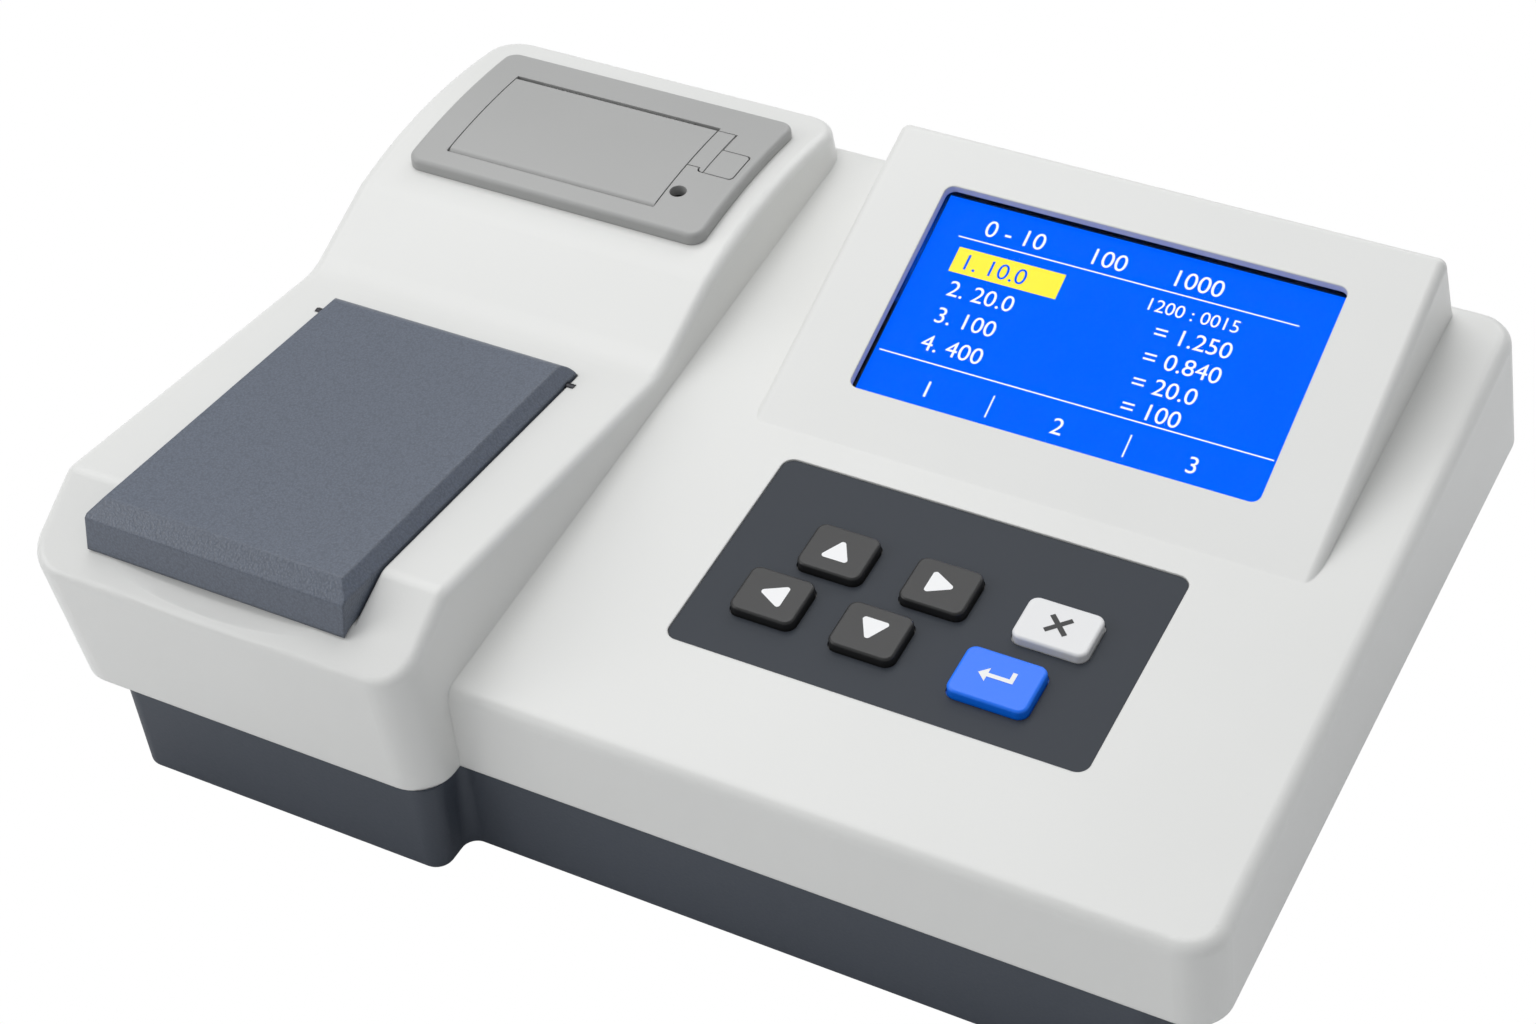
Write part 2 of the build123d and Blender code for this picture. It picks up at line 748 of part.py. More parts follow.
# Sample lid: a hollow cover with a round barrel along its back edge, drawn on the lid deck's side plane
rim_w = lid_floor_gap - recess_depth
facet_slope = tan(lid_angle + facet_angle)
skirt_v = -lid_overhang
skirt_w = skirt_v * facet_slope + 0.9
skirt_back_v = skirt_v + lid_wall
skirt_back_w = skirt_back_v * facet_slope + 0.9
seal_v = cell_v
rib_bottom = plate_top + seal_gap + seal_thickness
with BuildPart() as sample_lid:
    with BuildSketch(lid_side):
        with BuildLine():
            Polyline(
                (hinge_v, lid_rise),
                (skirt_v + lid_chamfer + 2, lid_rise),
                (skirt_v + 1, lid_rise - lid_chamfer - 0.5),
                (skirt_v, skirt_w),
                (skirt_back_v, skirt_back_w),
                (rim_w / facet_slope + 1.5, rim_w),
                (hinge_v - barrel_radius - 2, rim_w),
                (hinge_v, hinge_w - barrel_radius),
            )
            ThreePointArc(
                (hinge_v, hinge_w - barrel_radius), (hinge_v + barrel_radius, hinge_w), (hinge_v, lid_rise)
            )
        make_face()
    extrude(amount=lid_width / 2, both=True)
    with BuildSketch(Plane(origin=lid_plane.origin, x_dir=(1, 0, 0), z_dir=-lid_plane.y_dir)):
        with BuildLine():
            Polyline(
                (-lid_width / 2, -3 * recess_depth),
                (-lid_width / 2, lid_rise - lid_side_drop),
                (-lid_width / 2 + lid_side_run, lid_rise),
                (-lid_width / 2 + lid_side_run, 2 * lid_rise),
                (lid_width / 2 - lid_side_run, 2 * lid_rise),
                (lid_width / 2 - lid_side_run, lid_rise),
                (lid_width / 2, lid_rise - lid_side_drop),
                (lid_width / 2, -3 * recess_depth),
                close=True,
            )
        make_face()
    extrude(amount=2 * recess_back, both=True, mode=Mode.INTERSECT)
    with BuildSketch(lid_side):
        with BuildLine():
            Polyline(
                (hinge_v - barrel_radius - 3, lid_rise - lid_wall),
                (skirt_v + lid_chamfer + 3, lid_rise - lid_wall),
                (skirt_v + lid_wall + 1, lid_rise - lid_wall - lid_chamfer),
                (skirt_back_v, skirt_w),
                (skirt_back_v, skirt_w - 5),
                (hinge_v - barrel_radius - 3, skirt_w - 5),
                close=True,
            )
        make_face()
    extrude(amount=lid_width / 2 - lid_wall - 2, both=True, mode=Mode.SUBTRACT)
    with BuildSketch(lid_plane.offset(rib_bottom)):
        with Locations((0, seal_v)):
            Circle(seal_radius + 2)
            Circle(seal_radius - 2, mode=Mode.SUBTRACT)
    extrude(amount=lid_rise - lid_wall - rib_bottom + 0.5)
    with BuildSketch(Plane(origin=hinge_point, z_dir=(1, 0, 0))):
        Circle(pin_radius + pin_fit)
    extrude(amount=lid_width, both=True, mode=Mode.SUBTRACT)
sample_lid.part.label = "sample_lid"
export_step(sample_lid.part, "parts/sample_lid.step")

with BuildPart() as lid_seal:
    with BuildSketch(lid_plane.offset(rib_bottom)):
        with Locations((0, seal_v)):
            Circle(seal_radius + 2)
            Circle(seal_radius - 2, mode=Mode.SUBTRACT)
    extrude(amount=-seal_thickness)
lid_seal.part.label = "lid_seal"
export_step(lid_seal.part, "parts/lid_seal.step")

with BuildPart() as lid_pin:
    with BuildSketch(Plane(origin=hinge_point, z_dir=(1, 0, 0))):
        Circle(pin_radius)
    extrude(amount=recess_width / 2 + ledge_wall - 0.5, both=True)
lid_pin.part.label = "lid_pin"
export_step(lid_pin.part, "parts/lid_pin.step")


# Key field: a thin panel let into the deck, a board under it and six keys that slide through the panel.
# Each key has its place from the panel's left front corner, then its width and height.
key_layout = {
    "key_up": (33, 47.5, arrow_key_width, arrow_key_height),
    "key_left": (23, 24.5, arrow_key_width, arrow_key_height),
    "key_down": (55, 23.2, arrow_key_width, arrow_key_height),
    "key_right": (66, 46.7, arrow_key_width, arrow_key_height),
    "key_escape": (102.8, 45.3, escape_key_width, arrow_key_height - 1.2),
    "key_enter": (95, 20.6, enter_key_width, arrow_key_height + 0.5),
}
key_places = {
    name: (keypad_x - keypad_width / 2 + across, keypad_from_front + up)
    for name, (across, up, width, height) in key_layout.items()
}
panel_bottom = deck_plane.offset(-panel_thickness - panel_drop)
panel_top = deck_plane.offset(-panel_drop)
key_board_top = deck_plane.offset(-key_board_drop)
flange_top = panel_bottom.offset(-0.3)
flange_thickness = 1

with BuildPart() as key_panel:
    with BuildSketch(panel_bottom):
        with Locations((keypad_x, keypad_v)):
            RectangleRounded(keypad_width - 2 * panel_fit, keypad_height - 2 * panel_fit, keypad_corner - panel_fit)
        for name, (across, up, width, height) in key_layout.items():
            with Locations(key_places[name]):
                RectangleRounded(width + 2 * key_gap, height + 2 * key_gap, key_corner + key_gap, mode=Mode.SUBTRACT)
    extrude(amount=panel_thickness)
key_panel.part.label = "key_panel"
export_step(key_panel.part, "parts/key_panel.step")

for name, (across, up, width, height) in key_layout.items():
    with BuildPart() as key:
        with BuildSketch(flange_top):
            with Locations(key_places[name]):
                RectangleRounded(width, height, key_corner)
        extrude(amount=0.3 + panel_thickness + key_rise)
        fillet(key.faces().sort_by(Axis.Z)[-1].edges(), 1)
        with BuildSketch(flange_top):
            with Locations(key_places[name]):
                RectangleRounded(width + 2, height + 2, key_corner)
        extrude(amount=-flange_thickness)
    key.part.label = name
    export_step(key.part, f"parts/{name}.step")

switch_height_under_key = key_board_drop - panel_drop - panel_thickness - 0.3 - flange_thickness
plunger_rise = switch_height_under_key - key_travel - 0.3
with BuildPart() as key_board:
    with BuildSketch(key_board_top):
        with Locations((keypad_x, keypad_v)):
            Rectangle(panel_opening_width, panel_opening_height + 12)
    extrude(amount=-board_thickness)
    with BuildSketch(key_board_top):
        with Locations(*key_places.values()):
            Rectangle(6, 6)
    extrude(amount=plunger_rise - 0.6)
    with BuildSketch(key_board_top):
        with Locations(*key_places.values()):
            Circle(1.75)
    extrude(amount=plunger_rise)
    with BuildSketch(key_board_top):
        with Locations(*board_boss_places):
            Circle(1.1)
    extrude(amount=-board_thickness, mode=Mode.SUBTRACT)
key_board.part.label = "key_board"
export_step(key_board.part, "parts/key_board.step")

# Display: a clear window behind the hood's face, then a pressed frame, the glass and its board
window_thickness = 1.5
module_width = window_width + 14
module_height = window_height + 20
module_depth = 7
glass_thickness = 2
lip = 0.6
with BuildPart() as display_window:
    with BuildSketch(hood_plane.offset(-wall)):
        with Locations((0, window_v)):
            RectangleRounded(window_width + 8, window_height + 8, 2)
    extrude(amount=-window_thickness)
display_window.part.label = "display_window"
export_step(display_window.part, "parts/display_window.step")

module_plane = hood_plane.offset(-wall - window_thickness)
with BuildPart() as display_frame:
    with BuildSketch(module_plane):
        with Locations((0, window_v)):
            RectangleRounded(module_width, module_height, 1)
            Rectangle(window_width - 1, window_height - 1, mode=Mode.SUBTRACT)
    extrude(amount=-lip)
    with BuildSketch(module_plane):
        with Locations((0, window_v)):
            RectangleRounded(module_width, module_height, 1)
            Rectangle(module_width - 2, module_height - 2, mode=Mode.SUBTRACT)
    extrude(amount=-module_depth)
display_frame.part.label = "display_frame"
export_step(display_frame.part, "parts/display_frame.step")

with BuildPart() as display_glass:
    with BuildSketch(module_plane.offset(-lip)):
        with Locations((0, window_v)):
            Rectangle(module_width - 3, module_height - 3)
    extrude(amount=-glass_thickness)
display_glass.part.label = "display_glass"
export_step(display_glass.part, "parts/display_glass.step")

with BuildPart() as display_board:
    with BuildSketch(module_plane.offset(-module_depth)):
        with Locations((0, window_v)):
            Rectangle(module_width, module_height)
    extrude(amount=-board_thickness)
    with BuildSketch(module_plane.offset(-lip - glass_thickness)):
        with Locations((0, window_v)):
            Rectangle(module_width - 8, module_height - 8)
    extrude(amount=lip + glass_thickness - module_depth)
    with BuildSketch(module_plane.offset(-module_depth - board_thickness)):
        with Locations((-module_width / 4, window_v)):
            Rectangle(40, 6)
        with Locations((module_width / 5, window_v)):
            Rectangle(18, 18)
    extrude(amount=-3)
display_board.part.label = "display_board"
export_step(display_board.part, "parts/display_board.step")

# Strip printer: a bezel that follows the hump, with a neck through the cut-out and a bucket below
def hump_surface(y, rise=0):
    """Height of the hump, or of a surface that follows it, at a depth."""
    return hump_z + sqrt((hump_radius + rise) ** 2 - (y - hump_y) ** 2)


bezel_front_y = bezel_back_y - bezel_depth
neck_bottom_z = ramp_z - neck_depth
door_front_y = bezel_front_y + door_from_bezel_front
door_back_y = door_front_y + door_length
door_left_x = printer_x - bezel_width / 2 + door_from_bezel_left
door_right_x = door_left_x + door_width
door_x = (door_left_x + door_right_x) / 2
door_pin_y = door_front_y + door_barrel
door_pin_z = hump_surface(door_pin_y, bezel_rise - door_barrel)
latch_left_x = door_right_x + door_gap
latch_split_x = latch_left_x + latch_strip_width
latch_right_x = latch_split_x + latch_pad_width
latch_strip_front_y = door_back_y - latch_strip_length
latch_pad_back_y = latch_strip_front_y + 11.3
latch_pad_front_y = latch_pad_back_y - latch_pad_length
lamp_hole_x = door_right_x + 4.2
lamp_hole_y = bezel_front_y + 17.3
side_plane = Plane(origin=(0, 0, 0), x_dir=(0, 1, 0), z_dir=(1, 0, 0))


def latch_outline(grow):
    """Plan of the latch: a strip beside the door and a pad to its right, grown by a gap."""
    with BuildSketch(Plane.XY.offset(neck_bottom_z)) as plan:
        with Locations(((latch_left_x + latch_split_x) / 2, (latch_strip_front_y + door_back_y) / 2)):
            Rectangle(latch_strip_width + 2 * grow, latch_strip_length + 2 * grow)
        with Locations(((latch_split_x + latch_right_x) / 2 - 1, (latch_pad_front_y + latch_pad_back_y) / 2)):
            RectangleRounded(latch_pad_width + 2 + 2 * grow, latch_pad_length + 2 * grow, 1.5)
    return plan.sketch


with BuildPart() as printer_frame:
    with BuildSketch(Plane.XY.offset(neck_bottom_z)):
        with Locations((printer_x, bezel_y)):
            RectangleRounded(bezel_width, bezel_depth, bezel_corner)
    extrude(amount=60)
    with BuildSketch(side_plane.offset(printer_x - bezel_width)):
        with Locations((hump_y, hump_z)):
            Circle(hump_radius + bezel_rise)
            Circle(hump_radius + 0.05, mode=Mode.SUBTRACT)
    extrude(amount=2 * bezel_width, mode=Mode.INTERSECT)
    fillet(outline_edges(ShapeList([printer_frame.faces().sort_by(Axis.Z)[-1]])), 1.8)
    with BuildPart(mode=Mode.PRIVATE) as neck:
        with BuildSketch(Plane.XY.offset(neck_bottom_z)):
            with Locations((printer_x, bezel_y)):
                RectangleRounded(printer_cut_width - 2 * door_gap, printer_cut_depth - 2 * door_gap, 1.6)
        extrude(amount=60)
        with BuildSketch(side_plane.offset(printer_x - bezel_width)):
            with Locations((hump_y, hump_z)):
                Circle(hump_radius + 1)
        extrude(amount=2 * bezel_width, mode=Mode.INTERSECT)
    add(neck.part)
    with BuildSketch(Plane.XY.offset(neck_bottom_z)):
        rounded_plan(
            door_left_x - door_gap, latch_left_x, door_front_y - door_gap, door_back_y + paper_slot, 0.3
        )
    extrude(amount=60, mode=Mode.SUBTRACT)
    extrude(latch_outline(door_gap), amount=60, mode=Mode.SUBTRACT)
    with BuildSketch(Plane.XY.offset(neck_bottom_z)):
        with Locations((lamp_hole_x, lamp_hole_y)):
            Circle(2.8)
    extrude(amount=60, mode=Mode.SUBTRACT)
    with BuildSketch(Plane(origin=(door_x, door_pin_y, door_pin_z), z_dir=(1, 0, 0))):
        Circle(door_pin_radius + pin_fit)
    extrude(amount=door_width / 2 + door_pin_seat, both=True, mode=Mode.SUBTRACT)
printer_frame.part.label = "printer_frame"
export_step(printer_frame.part, "parts/printer_frame.step")

with BuildPart() as door_pin:
    with BuildSketch(Plane(origin=(door_x, door_pin_y, door_pin_z), z_dir=(1, 0, 0))):
        Circle(door_pin_radius)
    extrude(amount=door_width / 2 + door_pin_seat - 0.2, both=True)
door_pin.part.label = "door_pin"
export_step(door_pin.part, "parts/door_pin.step")

with BuildPart() as printer_lamp:
    with BuildSketch(Plane.XY.offset(neck_bottom_z)):
        with Locations((lamp_hole_x, lamp_hole_y)):
            Circle(2.75)
    extrude(amount=hump_surface(lamp_hole_y, bezel_rise) - 3 - neck_bottom_z)
    fillet(printer_lamp.faces().sort_by(Axis.Z)[-1].edges(), 1)
printer_lamp.part.label = "printer_lamp"
export_step(printer_lamp.part, "parts/printer_lamp.step")

# Bucket: a trough for the paper roll on the left and a bay for the feed motor on the right
bucket_width = printer_cut_width - 3
bucket_length = printer_cut_depth - 3
bucket_front_y = bezel_y - bucket_length / 2
bucket_back_y = bezel_y + bucket_length / 2
trough_width = roller_length + 2 * (arm_gap + arm_thickness + gear_gap + gear_width) + 2
trough_left_x = door_x - trough_width / 2
trough_right_x = door_x + trough_width / 2
trough_front_y = bucket_front_y + bucket_wall
trough_back_y = bucket_back_y - bucket_wall
bucket_bottom_z = neck_bottom_z - bucket_depth
trough_radius = (trough_back_y - trough_front_y) / 2 - 0.5
bay_left_x = trough_right_x + bucket_wall
bay_right_x = printer_x + bucket_width / 2 - bucket_wall
roller_y = door_back_y - roller_back_offset
roller_z = hump_surface(roller_y, bezel_rise) - roller_depth
motor_y = bezel_y
motor_z = neck_bottom_z - 22

with BuildPart() as printer_body:
    with BuildSketch(Plane.XY.offset(neck_bottom_z)):
        with Locations((printer_x, bezel_y)):
            RectangleRounded(bucket_width, bucket_length, 3)
    extrude(amount=-bucket_depth)
    with BuildSketch(side_plane.offset(trough_left_x)) as trough:
        with BuildLine():
            Polyline(
                (trough_front_y, bucket_bottom_z + bucket_wall + trough_radius),
                (trough_front_y, neck_bottom_z + 1),
                (trough_back_y, neck_bottom_z + 1),
                (trough_back_y, bucket_bottom_z + bucket_wall + trough_radius),
            )
            ThreePointArc(
                (trough_back_y, bucket_bottom_z + bucket_wall + trough_radius),
                (bezel_y, bucket_bottom_z + bucket_wall),
                (trough_front_y, bucket_bottom_z + bucket_wall + trough_radius),
            )
        make_face()
    extrude(amount=trough_width, mode=Mode.SUBTRACT)
    with BuildSketch(Plane.XY.offset(bucket_bottom_z)):
        rounded_plan(bay_left_x, bay_right_x, trough_front_y, trough_back_y, 1)
    extrude(amount=bucket_depth - 5, mode=Mode.SUBTRACT)
    extrude(latch_outline(door_gap), amount=-6, mode=Mode.SUBTRACT)
    with BuildSketch(Plane.XY.offset(neck_bottom_z)):
        with Locations((lamp_hole_x, lamp_hole_y)):
            Circle(1.5)
    extrude(amount=-6, mode=Mode.SUBTRACT)
printer_body.part.label = "printer_body"
export_step(printer_body.part, "parts/printer_body.step")

with BuildPart() as feed_motor:
    with BuildSketch(side_plane.offset(bay_left_x)):
        with Locations((motor_y, motor_z)):
            Circle(7.5)
    extrude(amount=bay_right_x - bay_left_x - 1)
    with BuildSketch(side_plane.offset(bay_left_x)):
        with Locations((motor_y, motor_z)):
            SlotCenterToCenter(20, 6)
            with GridLocations(20, 1, 2, 1):
                Circle(1.2, mode=Mode.SUBTRACT)
    extrude(amount=1)
feed_motor.part.label = "feed_motor"
export_step(feed_motor.part, "parts/feed_motor.step")

# Thermal head on its block behind the roller, and the toothed bar that the paper is torn on
head_front_y = roller_y + roller_radius + head_gap
tear_y = door_back_y + paper_slot
with BuildPart() as thermal_head:
    with BuildSketch(side_plane.offset(door_x - roller_length / 2)):
        with BuildLine():
            Polyline(
                (head_front_y, roller_z - 9),
                (head_front_y, roller_z + 2),
                (head_front_y + 1, roller_z + 3),
                (tear_y - tear_thickness - 0.3, roller_z + 3),
                (tear_y - tear_thickness - 0.3, neck_bottom_z),
                (trough_back_y, neck_bottom_z),
                (trough_back_y, roller_z - 9),
                close=True,
            )
        make_face()
    extrude(amount=roller_length)
    with BuildSketch(side_plane.offset(door_x - roller_length / 2 - 1)):
        with Locations(*[(head_front_y + 4.2 + 3 * i, roller_z - 7) for i in range(2)]):
            Rectangle(1.5, 5)
    extrude(amount=roller_length + 2, mode=Mode.SUBTRACT)
thermal_head.part.label = "thermal_head"
export_step(thermal_head.part, "parts/thermal_head.step")

tear_top = hump_surface(tear_y, bezel_rise) - 0.6
tooth_width = roller_length / tear_teeth
with BuildPart() as tear_bar:
    with BuildSketch(Plane(origin=(door_x, tear_y, tear_top), x_dir=(1, 0, 0), z_dir=(0, -1, 0))):
        with BuildLine():
            crown = [(-roller_length / 2, -6), (-roller_length / 2, 0)]
            for tooth in range(tear_teeth):
                start_x = -roller_length / 2 + tooth * tooth_width
                crown += [(start_x + tooth_width / 2, -tooth_width / 2), (start_x + tooth_width, 0)]
            Polyline(*crown, (roller_length / 2, -6), close=True)
        make_face()
    extrude(amount=tear_thickness)
tear_bar.part.label = "tear_bar"
export_step(tear_bar.part, "parts/tear_bar.step")

# Paper door: a curved plate with a hinge barrel in front and two cheeks that carry the platen
arm_x = roller_length / 2 + arm_gap
crown_scale = (hump_radius + bezel_rise) / (hump_radius + bezel_rise - door_barrel)
crown_point = (hump_y + (door_pin_y - hump_y) * crown_scale, hump_z + (door_pin_z - hump_z) * crown_scale)
plate_rise = bezel_rise - door_thickness
mid_y = (door_pin_y + door_back_y) / 2
gusset_y = door_pin_y + 1.6 * door_barrel
gusset_point = (door_pin_y + door_barrel * cos(radians(30)), door_pin_z - door_barrel * sin(radians(30)))
with BuildPart() as paper_door:
    with BuildSketch(side_plane.offset(door_x)):
        with BuildLine():
            ThreePointArc(
                crown_point,
                (mid_y, hump_surface(mid_y, bezel_rise)),
                (door_back_y, hump_surface(door_back_y, bezel_rise)),
            )
            Line(
                (door_back_y, hump_surface(door_back_y, bezel_rise)), (door_back_y, hump_surface(door_back_y, plate_rise))
            )
            ThreePointArc(
                (door_back_y, hump_surface(door_back_y, plate_rise)),
                (mid_y, hump_surface(mid_y, plate_rise)),
                (gusset_y, hump_surface(gusset_y, plate_rise)),
            )
            Line((gusset_y, hump_surface(gusset_y, plate_rise)), gusset_point)
            ThreePointArc(gusset_point, (door_pin_y - door_barrel, door_pin_z), crown_point)
        make_face()
    extrude(amount=door_width / 2, both=True)
    for side in (-1, 1):
        with BuildSketch(side_plane.offset(door_x + side * (arm_x + arm_thickness / 2))):
            with BuildLine():
                Polyline(
                    (door_pin_y + door_barrel, door_pin_z - 1),
                    (gusset_y + 2, hump_surface(gusset_y + 2, plate_rise) + 0.5),
                    (mid_y, hump_surface(mid_y, plate_rise) + 0.5),
                    (roller_y + 3, hump_surface(roller_y + 3, plate_rise) + 0.5),
                    (roller_y + 3, roller_z + 1),
                    (roller_y + 1, roller_z - 4),
                    (roller_y - 4, roller_z - 4),
                    close=True,
                )
            make_face()
        extrude(amount=arm_thickness / 2, both=True)
    with BuildSketch(Plane(origin=(door_x, door_pin_y, door_pin_z), z_dir=(1, 0, 0))):
        Circle(door_pin_radius + pin_fit)
    extrude(amount=door_width, both=True, mode=Mode.SUBTRACT)
    with BuildSketch(Plane(origin=(door_x, roller_y, roller_z), z_dir=(1, 0, 0))):
        Circle(shaft_radius + pin_fit)
    extrude(amount=door_width, both=True, mode=Mode.SUBTRACT)
paper_door.part.label = "paper_door"
export_step(paper_door.part, "parts/paper_door.step")

# Platen: a rubber roller on a steel shaft with its gear outside the right cheek
platen_plane = Plane(origin=(door_x, roller_y, roller_z), x_dir=(0, 1, 0), z_dir=(1, 0, 0))
gear_x = arm_x + arm_thickness + gear_gap
with BuildPart() as platen_roller:
    with BuildSketch(platen_plane):
        Circle(roller_radius)
        Circle(shaft_radius, mode=Mode.SUBTRACT)
    extrude(amount=roller_length / 2, both=True)
platen_roller.part.label = "platen_roller"
export_step(platen_roller.part, "parts/platen_roller.step")

with BuildPart() as platen_shaft:
    with BuildSketch(platen_plane.offset(-arm_x - arm_thickness - 0.6)):
        Circle(shaft_radius)
    extrude(amount=arm_x + arm_thickness + 0.6 + gear_x + gear_width)
platen_shaft.part.label = "platen_shaft"
export_step(platen_shaft.part, "parts/platen_shaft.step")

with BuildPart() as platen_gear:
    with BuildSketch(platen_plane.offset(gear_x)):
        Circle(gear_radius - gear_tooth)
        with PolarLocations(gear_radius - gear_tooth / 2 - 0.1, gear_teeth):
            Trapezoid(gear_tooth, gear_tooth + 0.2, 75, rotation=-90)
        Circle(shaft_radius, mode=Mode.SUBTRACT)
    extrude(amount=gear_width)
platen_gear.part.label = "platen_gear"
export_step(platen_gear.part, "parts/platen_gear.step")

# Latch: a strip and a pad in one piece that is pressed down against its spring
with BuildPart() as door_latch:
    extrude(latch_outline(0), amount=60)
    with BuildSketch(side_plane.offset(latch_left_x - 5)):
        with Locations((hump_y, hump_z)):
            Circle(hump_radius + bezel_rise)
            Circle(hump_radius + bezel_rise - latch_thickness, mode=Mode.SUBTRACT)
    extrude(amount=40, mode=Mode.INTERSECT)
    with BuildSketch(side_plane.offset(latch_split_x - 0.2)):
        with Locations((hump_y, hump_z)):
            Circle(hump_radius + bezel_rise + 1)
            Circle(hump_radius + bezel_rise - 0.5, mode=Mode.SUBTRACT)
    extrude(amount=0.4, mode=Mode.SUBTRACT)
    with BuildSketch(Plane.XY.offset(neck_bottom_z - 2)):
        with Locations(((latch_split_x + latch_right_x) / 2, (latch_pad_front_y + latch_pad_back_y) / 2)):
            Rectangle(latch_pad_width - 3, 6)
    extrude(amount=hump_surface(latch_pad_front_y, bezel_rise - 1) + 2 - neck_bottom_z)
door_latch.part.label = "door_latch"
export_step(door_latch.part, "parts/door_latch.step")

# Rear of the base: power inlet, rocker switch and serial port, each let into the back wall
inlet_plane = Plane(origin=(inlet_x, panel_y, back_plane.origin.Z), x_dir=(-1, 0, 0), z_dir=(0, 1, 0))
pin_places = [(-7, -2.5), (7, -2.5), (0, 2.5)]
with BuildPart() as power_inlet:
    with BuildSketch(inlet_plane):
        RectangleRounded(inlet_width + 4, inlet_height + 4, 2)
    extrude(amount=flange_depth)
    with BuildSketch(inlet_plane):
        Rectangle(inlet_width, inlet_height)
    extrude(amount=-inlet_depth)
    with BuildSketch(inlet_plane.offset(flange_depth)) as mouth:
        Rectangle(inlet_width - 3, inlet_height - 4)
        chamfer(mouth.vertices().group_by(Axis.Y)[-1], 4)
    extrude(amount=-inlet_depth, mode=Mode.SUBTRACT)
    with BuildSketch(inlet_plane.offset(-inlet_depth)):
        with Locations(*pin_places):
            Rectangle(2, 4)
    extrude(amount=flange_depth, mode=Mode.SUBTRACT)
power_inlet.part.label = "power_inlet"
export_step(power_inlet.part, "parts/power_inlet.step")

with BuildPart() as inlet_pins:
    with BuildSketch(inlet_plane.offset(flange_depth - inlet_depth)):
        with Locations(*pin_places):
            Rectangle(2, 4)
    extrude(amount=inlet_depth - 6)
    with BuildSketch(inlet_plane.offset(flange_depth - inlet_depth)):
        with Locations(*pin_places):
            Rectangle(2, 4)
    extrude(amount=-6)
inlet_pins.part.label = "inlet_pins"
export_step(inlet_pins.part, "parts/inlet_pins.step")

switch_plane = Plane(origin=(switch_x, panel_y, back_plane.origin.Z), x_dir=(-1, 0, 0), z_dir=(0, 1, 0))
rocker_y = panel_y - 1.5
well_width = switch_width - 3
well_height = switch_height - 3
with BuildPart() as switch_housing:
    with BuildSketch(switch_plane):
        RectangleRounded(switch_width + 3, switch_height + 3, 1.5)
    extrude(amount=flange_depth)
    with BuildSketch(switch_plane):
        Rectangle(switch_width, switch_height)
    extrude(amount=-switch_depth)
    with BuildSketch(switch_plane.offset(flange_depth)):
        Rectangle(well_width, well_height)
    extrude(amount=-(flange_depth + switch_depth - 2), mode=Mode.SUBTRACT)
    with BuildSketch(Plane(origin=(switch_x, rocker_y, back_plane.origin.Z), z_dir=(1, 0, 0))):
        Circle(1 + pin_fit)
    extrude(amount=switch_width / 2 - 0.5, both=True, mode=Mode.SUBTRACT)
    with BuildSketch(switch_plane.offset(-switch_depth)):
        with GridLocations(1, 7, 1, 2):
            Rectangle(4.8, 0.8)
    extrude(amount=-6)
switch_housing.part.label = "switch_housing"
export_step(switch_housing.part, "parts/switch_housing.step")

rocker_side = Plane(origin=(switch_x, rocker_y, back_plane.origin.Z), x_dir=(0, 1, 0), z_dir=(1, 0, 0))
half_rocker = well_height / 2 - 0.6
with BuildPart() as power_rocker:
    with BuildSketch(rocker_side):
        with BuildLine():
            face_top = (rocker_face, half_rocker - 0.4)
            face_bottom = (rocker_face, 0.4 - half_rocker)
            Polyline(face_top, (-2.5, half_rocker - 1.2), (-4.5, 0), (-2.5, 1.2 - half_rocker), face_bottom)
            ThreePointArc(face_bottom, (rocker_face - 1.4, 0), face_top)
        make_face()
    extrude(amount=well_width / 2 - 0.3, both=True)
    with BuildSketch(rocker_side):
        Circle(1)
    extrude(amount=switch_width / 2 - 0.7, both=True)
power_rocker.part = power_rocker.part.rotate(Axis((switch_x, rocker_y, back_plane.origin.Z), (1, 0, 0)), rocker_angle)
power_rocker.part.label = "power_rocker"
export_step(power_rocker.part, "parts/power_rocker.step")

port_plane = Plane(origin=(port_x, panel_y, back_plane.origin.Z), x_dir=(-1, 0, 0), z_dir=(0, 1, 0))
with BuildPart() as serial_port:
    with BuildSketch(port_plane.offset(-base_wall)):
        RectangleRounded(port_width + 14, port_height + 4, 1.5)
    extrude(amount=-1)
    with BuildSketch(port_plane.offset(-base_wall)) as shell:
        Trapezoid(port_width, port_height, 80)
        fillet(shell.vertices(), 2)
    extrude(amount=base_wall + port_reach)
    with BuildSketch(port_plane.offset(port_reach)):
        with Locations((0, 1.4)):
            with GridLocations(2.76, 1, 5, 1):
                Circle(0.55)
        with Locations((0, -1.4)):
            with GridLocations(2.76, 1, 4, 1):
                Circle(0.55)
    extrude(amount=-5, mode=Mode.SUBTRACT)
    with BuildSketch(port_plane.offset(-base_wall - 1)):
        Rectangle(port_width + 2, port_height + 1)
    extrude(amount=-8)
serial_port.part.label = "serial_port"
export_step(serial_port.part, "parts/serial_port.step")

# Boards: the main board and the power supply stand on posts of the tray
def board(width, length, place, level, posts, chips):
    """A board with screw holes over its posts and a few components on top."""
    with BuildPart() as plate:
        with BuildSketch(Plane.XY.offset(level)):
            with Locations(place):
                Rectangle(width, length)
            with Locations(*posts):
                Circle(1.6, mode=Mode.SUBTRACT)
        extrude(amount=board_thickness)
        for across, along, chip_width, chip_length, chip_height in chips:
            with BuildSketch(Plane.XY.offset(level + board_thickness)):
                with Locations((place[0] + across, place[1] + along)):
                    Rectangle(chip_width, chip_length)
            extrude(amount=chip_height)
    return plate.part


